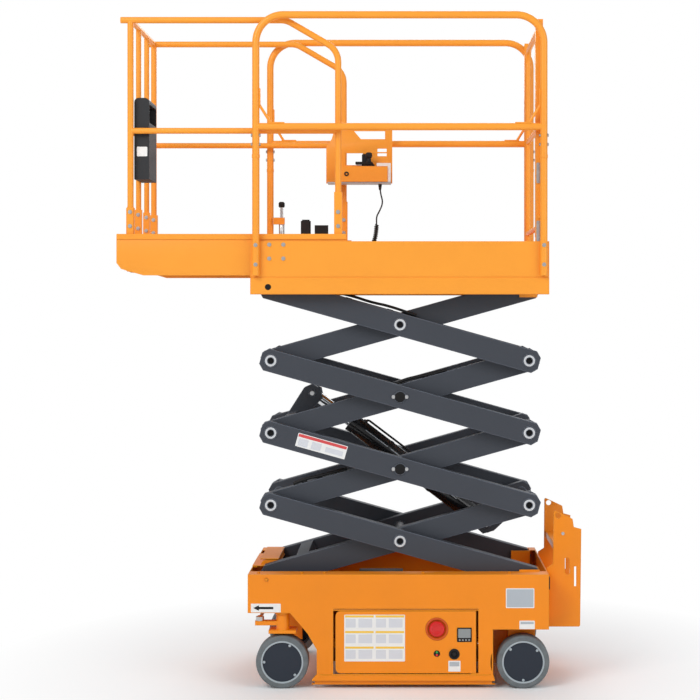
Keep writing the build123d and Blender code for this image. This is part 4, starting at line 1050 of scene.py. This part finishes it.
# Control station: cut plate with its bracket, housing, tray strip, key switch and side panel
PLATE_Y = 0.2984
HOUSING_Y = 0.1824
STATION = span(-0.356, -0.039)
plate = [(STATION[0], 2.257), (STATION[1], 2.257), (STATION[1], 2.519), (MID - 0.316, 2.519),
         (MID - 0.330, 2.470), (STATION[0], 2.431)]
window = in_place([(-0.222, 2.508), (-0.190, 2.470), (-0.074, 2.470), (-0.074, 2.508)])
opening = in_place([(-0.264, 2.345), (-0.178, 2.345), (-0.172, 2.352), (-0.172, 2.392), (-0.182, 2.402),
                    (-0.264, 2.402)])
small_openings = [rounded(span(-0.110, -0.066), z, 0.003) for z in ((2.388, 2.402), (2.408, 2.424))]
shape = joined([cut_plate(plate, [window, opening, *small_openings], (PLATE_Y, PLATE_Y + 0.004))])
body_ink, strip_ink, panel_ink = range(3)
STATION_BARS = (
    ((-0.298, -0.112), (0.1836, PLATE_Y - 0.0005), (2.256, 2.3285), 0.004, body_ink),
    ((-0.300, -0.060), (HOUSING_Y, 0.1854), (2.256, 2.3265), 0.001, body_ink),
    ((-0.300, -0.060), (0.1834, PLATE_Y - 0.0005), (2.3270, 2.3300), 0.001, body_ink),
    ((-0.281, -0.262), (PLATE_Y + 0.003, 0.3190), (2.290, 2.310), 0.001, body_ink),
    ((-0.281, -0.262), (PLATE_Y + 0.003, 0.3190), (2.410, 2.430), 0.001, body_ink),
    ((-0.345, -0.045), (0.188, 0.296), (2.2500, 2.2555), 0.001, strip_ink),
    ((-0.112, -0.045), (0.188, 0.191), (2.2545, 2.345), 0.001, panel_ink),
)
for x, y, z, edge, ink in STATION_BARS:
    brick(shape, span(*x), y, z, edge, ink)
finished("station_body", "extension", shape, "platform_paint", ["control_box"],
         [platform_paint, label_grey, label_white])
shape = bmesh.new()
turned(shape, ring_profile(0.005, 0.011, 0.004, 0.001), (MID - 0.254, HOUSING_Y, 2.293), NEAR_WAY, 0, 28)
switch_base = rounded(span(-0.215, -0.168), (2.346, 2.358), 0.003)
slab(shape, switch_base, (PLATE_Y - 0.040, PLATE_Y - 0.002))
switch_guard = rounded(span(-0.184, -0.158), (2.331, 2.396), 0.008)
slab(shape, switch_guard, (PLATE_Y - 0.030, PLATE_Y - 0.004))
finished("station_switches", "extension", shape, "black_plastic")
STICK_AND_BOOT = [(0, 0.0), (0.030, 0.0), (0.031, 0.004), (0.025, 0.008), (0.027, 0.012), (0.020, 0.016),
                  (0.021, 0.020), (0.014, 0.025), (0.011, 0.028), (0.0095, 0.040), (0.014, 0.046),
                  (0.0165, 0.056), (0.015, 0.066), (0.009, 0.0697), (0, 0.0697)]
shape = bmesh.new()
turned(shape, STICK_AND_BOOT, (MID - 0.150, 0.2424, 2.3303), UP_WAY, 0, 32)
finished("stick_and_boot", "extension", shape, "black_plastic", ["joystick"])

# Blank sticker on the document box, and raised tread on both floors
label("box_label", "extension", [(span(-1.1615, -1.1155), (2.330, 2.372), 0.003, WHITE)], -0.2967)
tread("main_tread", "platform", span(-0.100, 0.590), (-0.262, 0.262), MAIN_FLOOR)
tread("front_tread", "extension", span(-1.160, -0.300), (-0.290, 0.290), DECK_FLOOR)

# Spring lock of the roll-out deck: case and rod, knob, spring and bracket
LOCK_X, LOCK_Y, LOCK_Z = MID - 0.574, 0.352, 2.010
LOCK_CASE = [(0, 0.0), (0.0135, 0.0), (0.0135, 0.072), (0.012, 0.074), (0.006, 0.074),
             (0.006, 0.135), (0, 0.135)]
LOCK_KNOB = [(0, 0.135), (0.012, 0.135), (0.015, 0.140), (0.015, 0.156), (0.010, 0.162), (0, 0.162)]
COIL = ring_profile(0.0062, 0.0090, 0.0024, 0.0008)
case_ink, knob_ink, bracket_ink = range(3)
shape = bmesh.new()
turned(shape, LOCK_CASE, (LOCK_X, LOCK_Y, LOCK_Z), UP_WAY, case_ink, 28)
turned(shape, LOCK_KNOB, (LOCK_X, LOCK_Y, LOCK_Z), UP_WAY, knob_ink, 28)
for turn_number in range(8):
    coil_z = LOCK_Z + 0.078 + turn_number * 0.0068
    turned(shape, COIL, (LOCK_X, LOCK_Y, coil_z), UP_WAY, case_ink, 20)
brick(shape, (MID - 0.615, LOCK_X + 0.016), (0.336, 0.3435), (2.062, 2.096), 0.001, bracket_ink)
finished("spring_lock", "platform", shape, "grey_steel", ["deck_lock"],
         [zinc, black_plastic, platform_paint])

# Small boxes on the far toe board
shape = bmesh.new()
for x, top in ((span(-0.480, -0.432), 2.085), (span(-0.413, -0.348), 2.058)):
    brick(shape, x, (0.322, 0.338), (1.9845, top), 0.006)
finished("slide_latches", "extension", shape, "black_plastic")
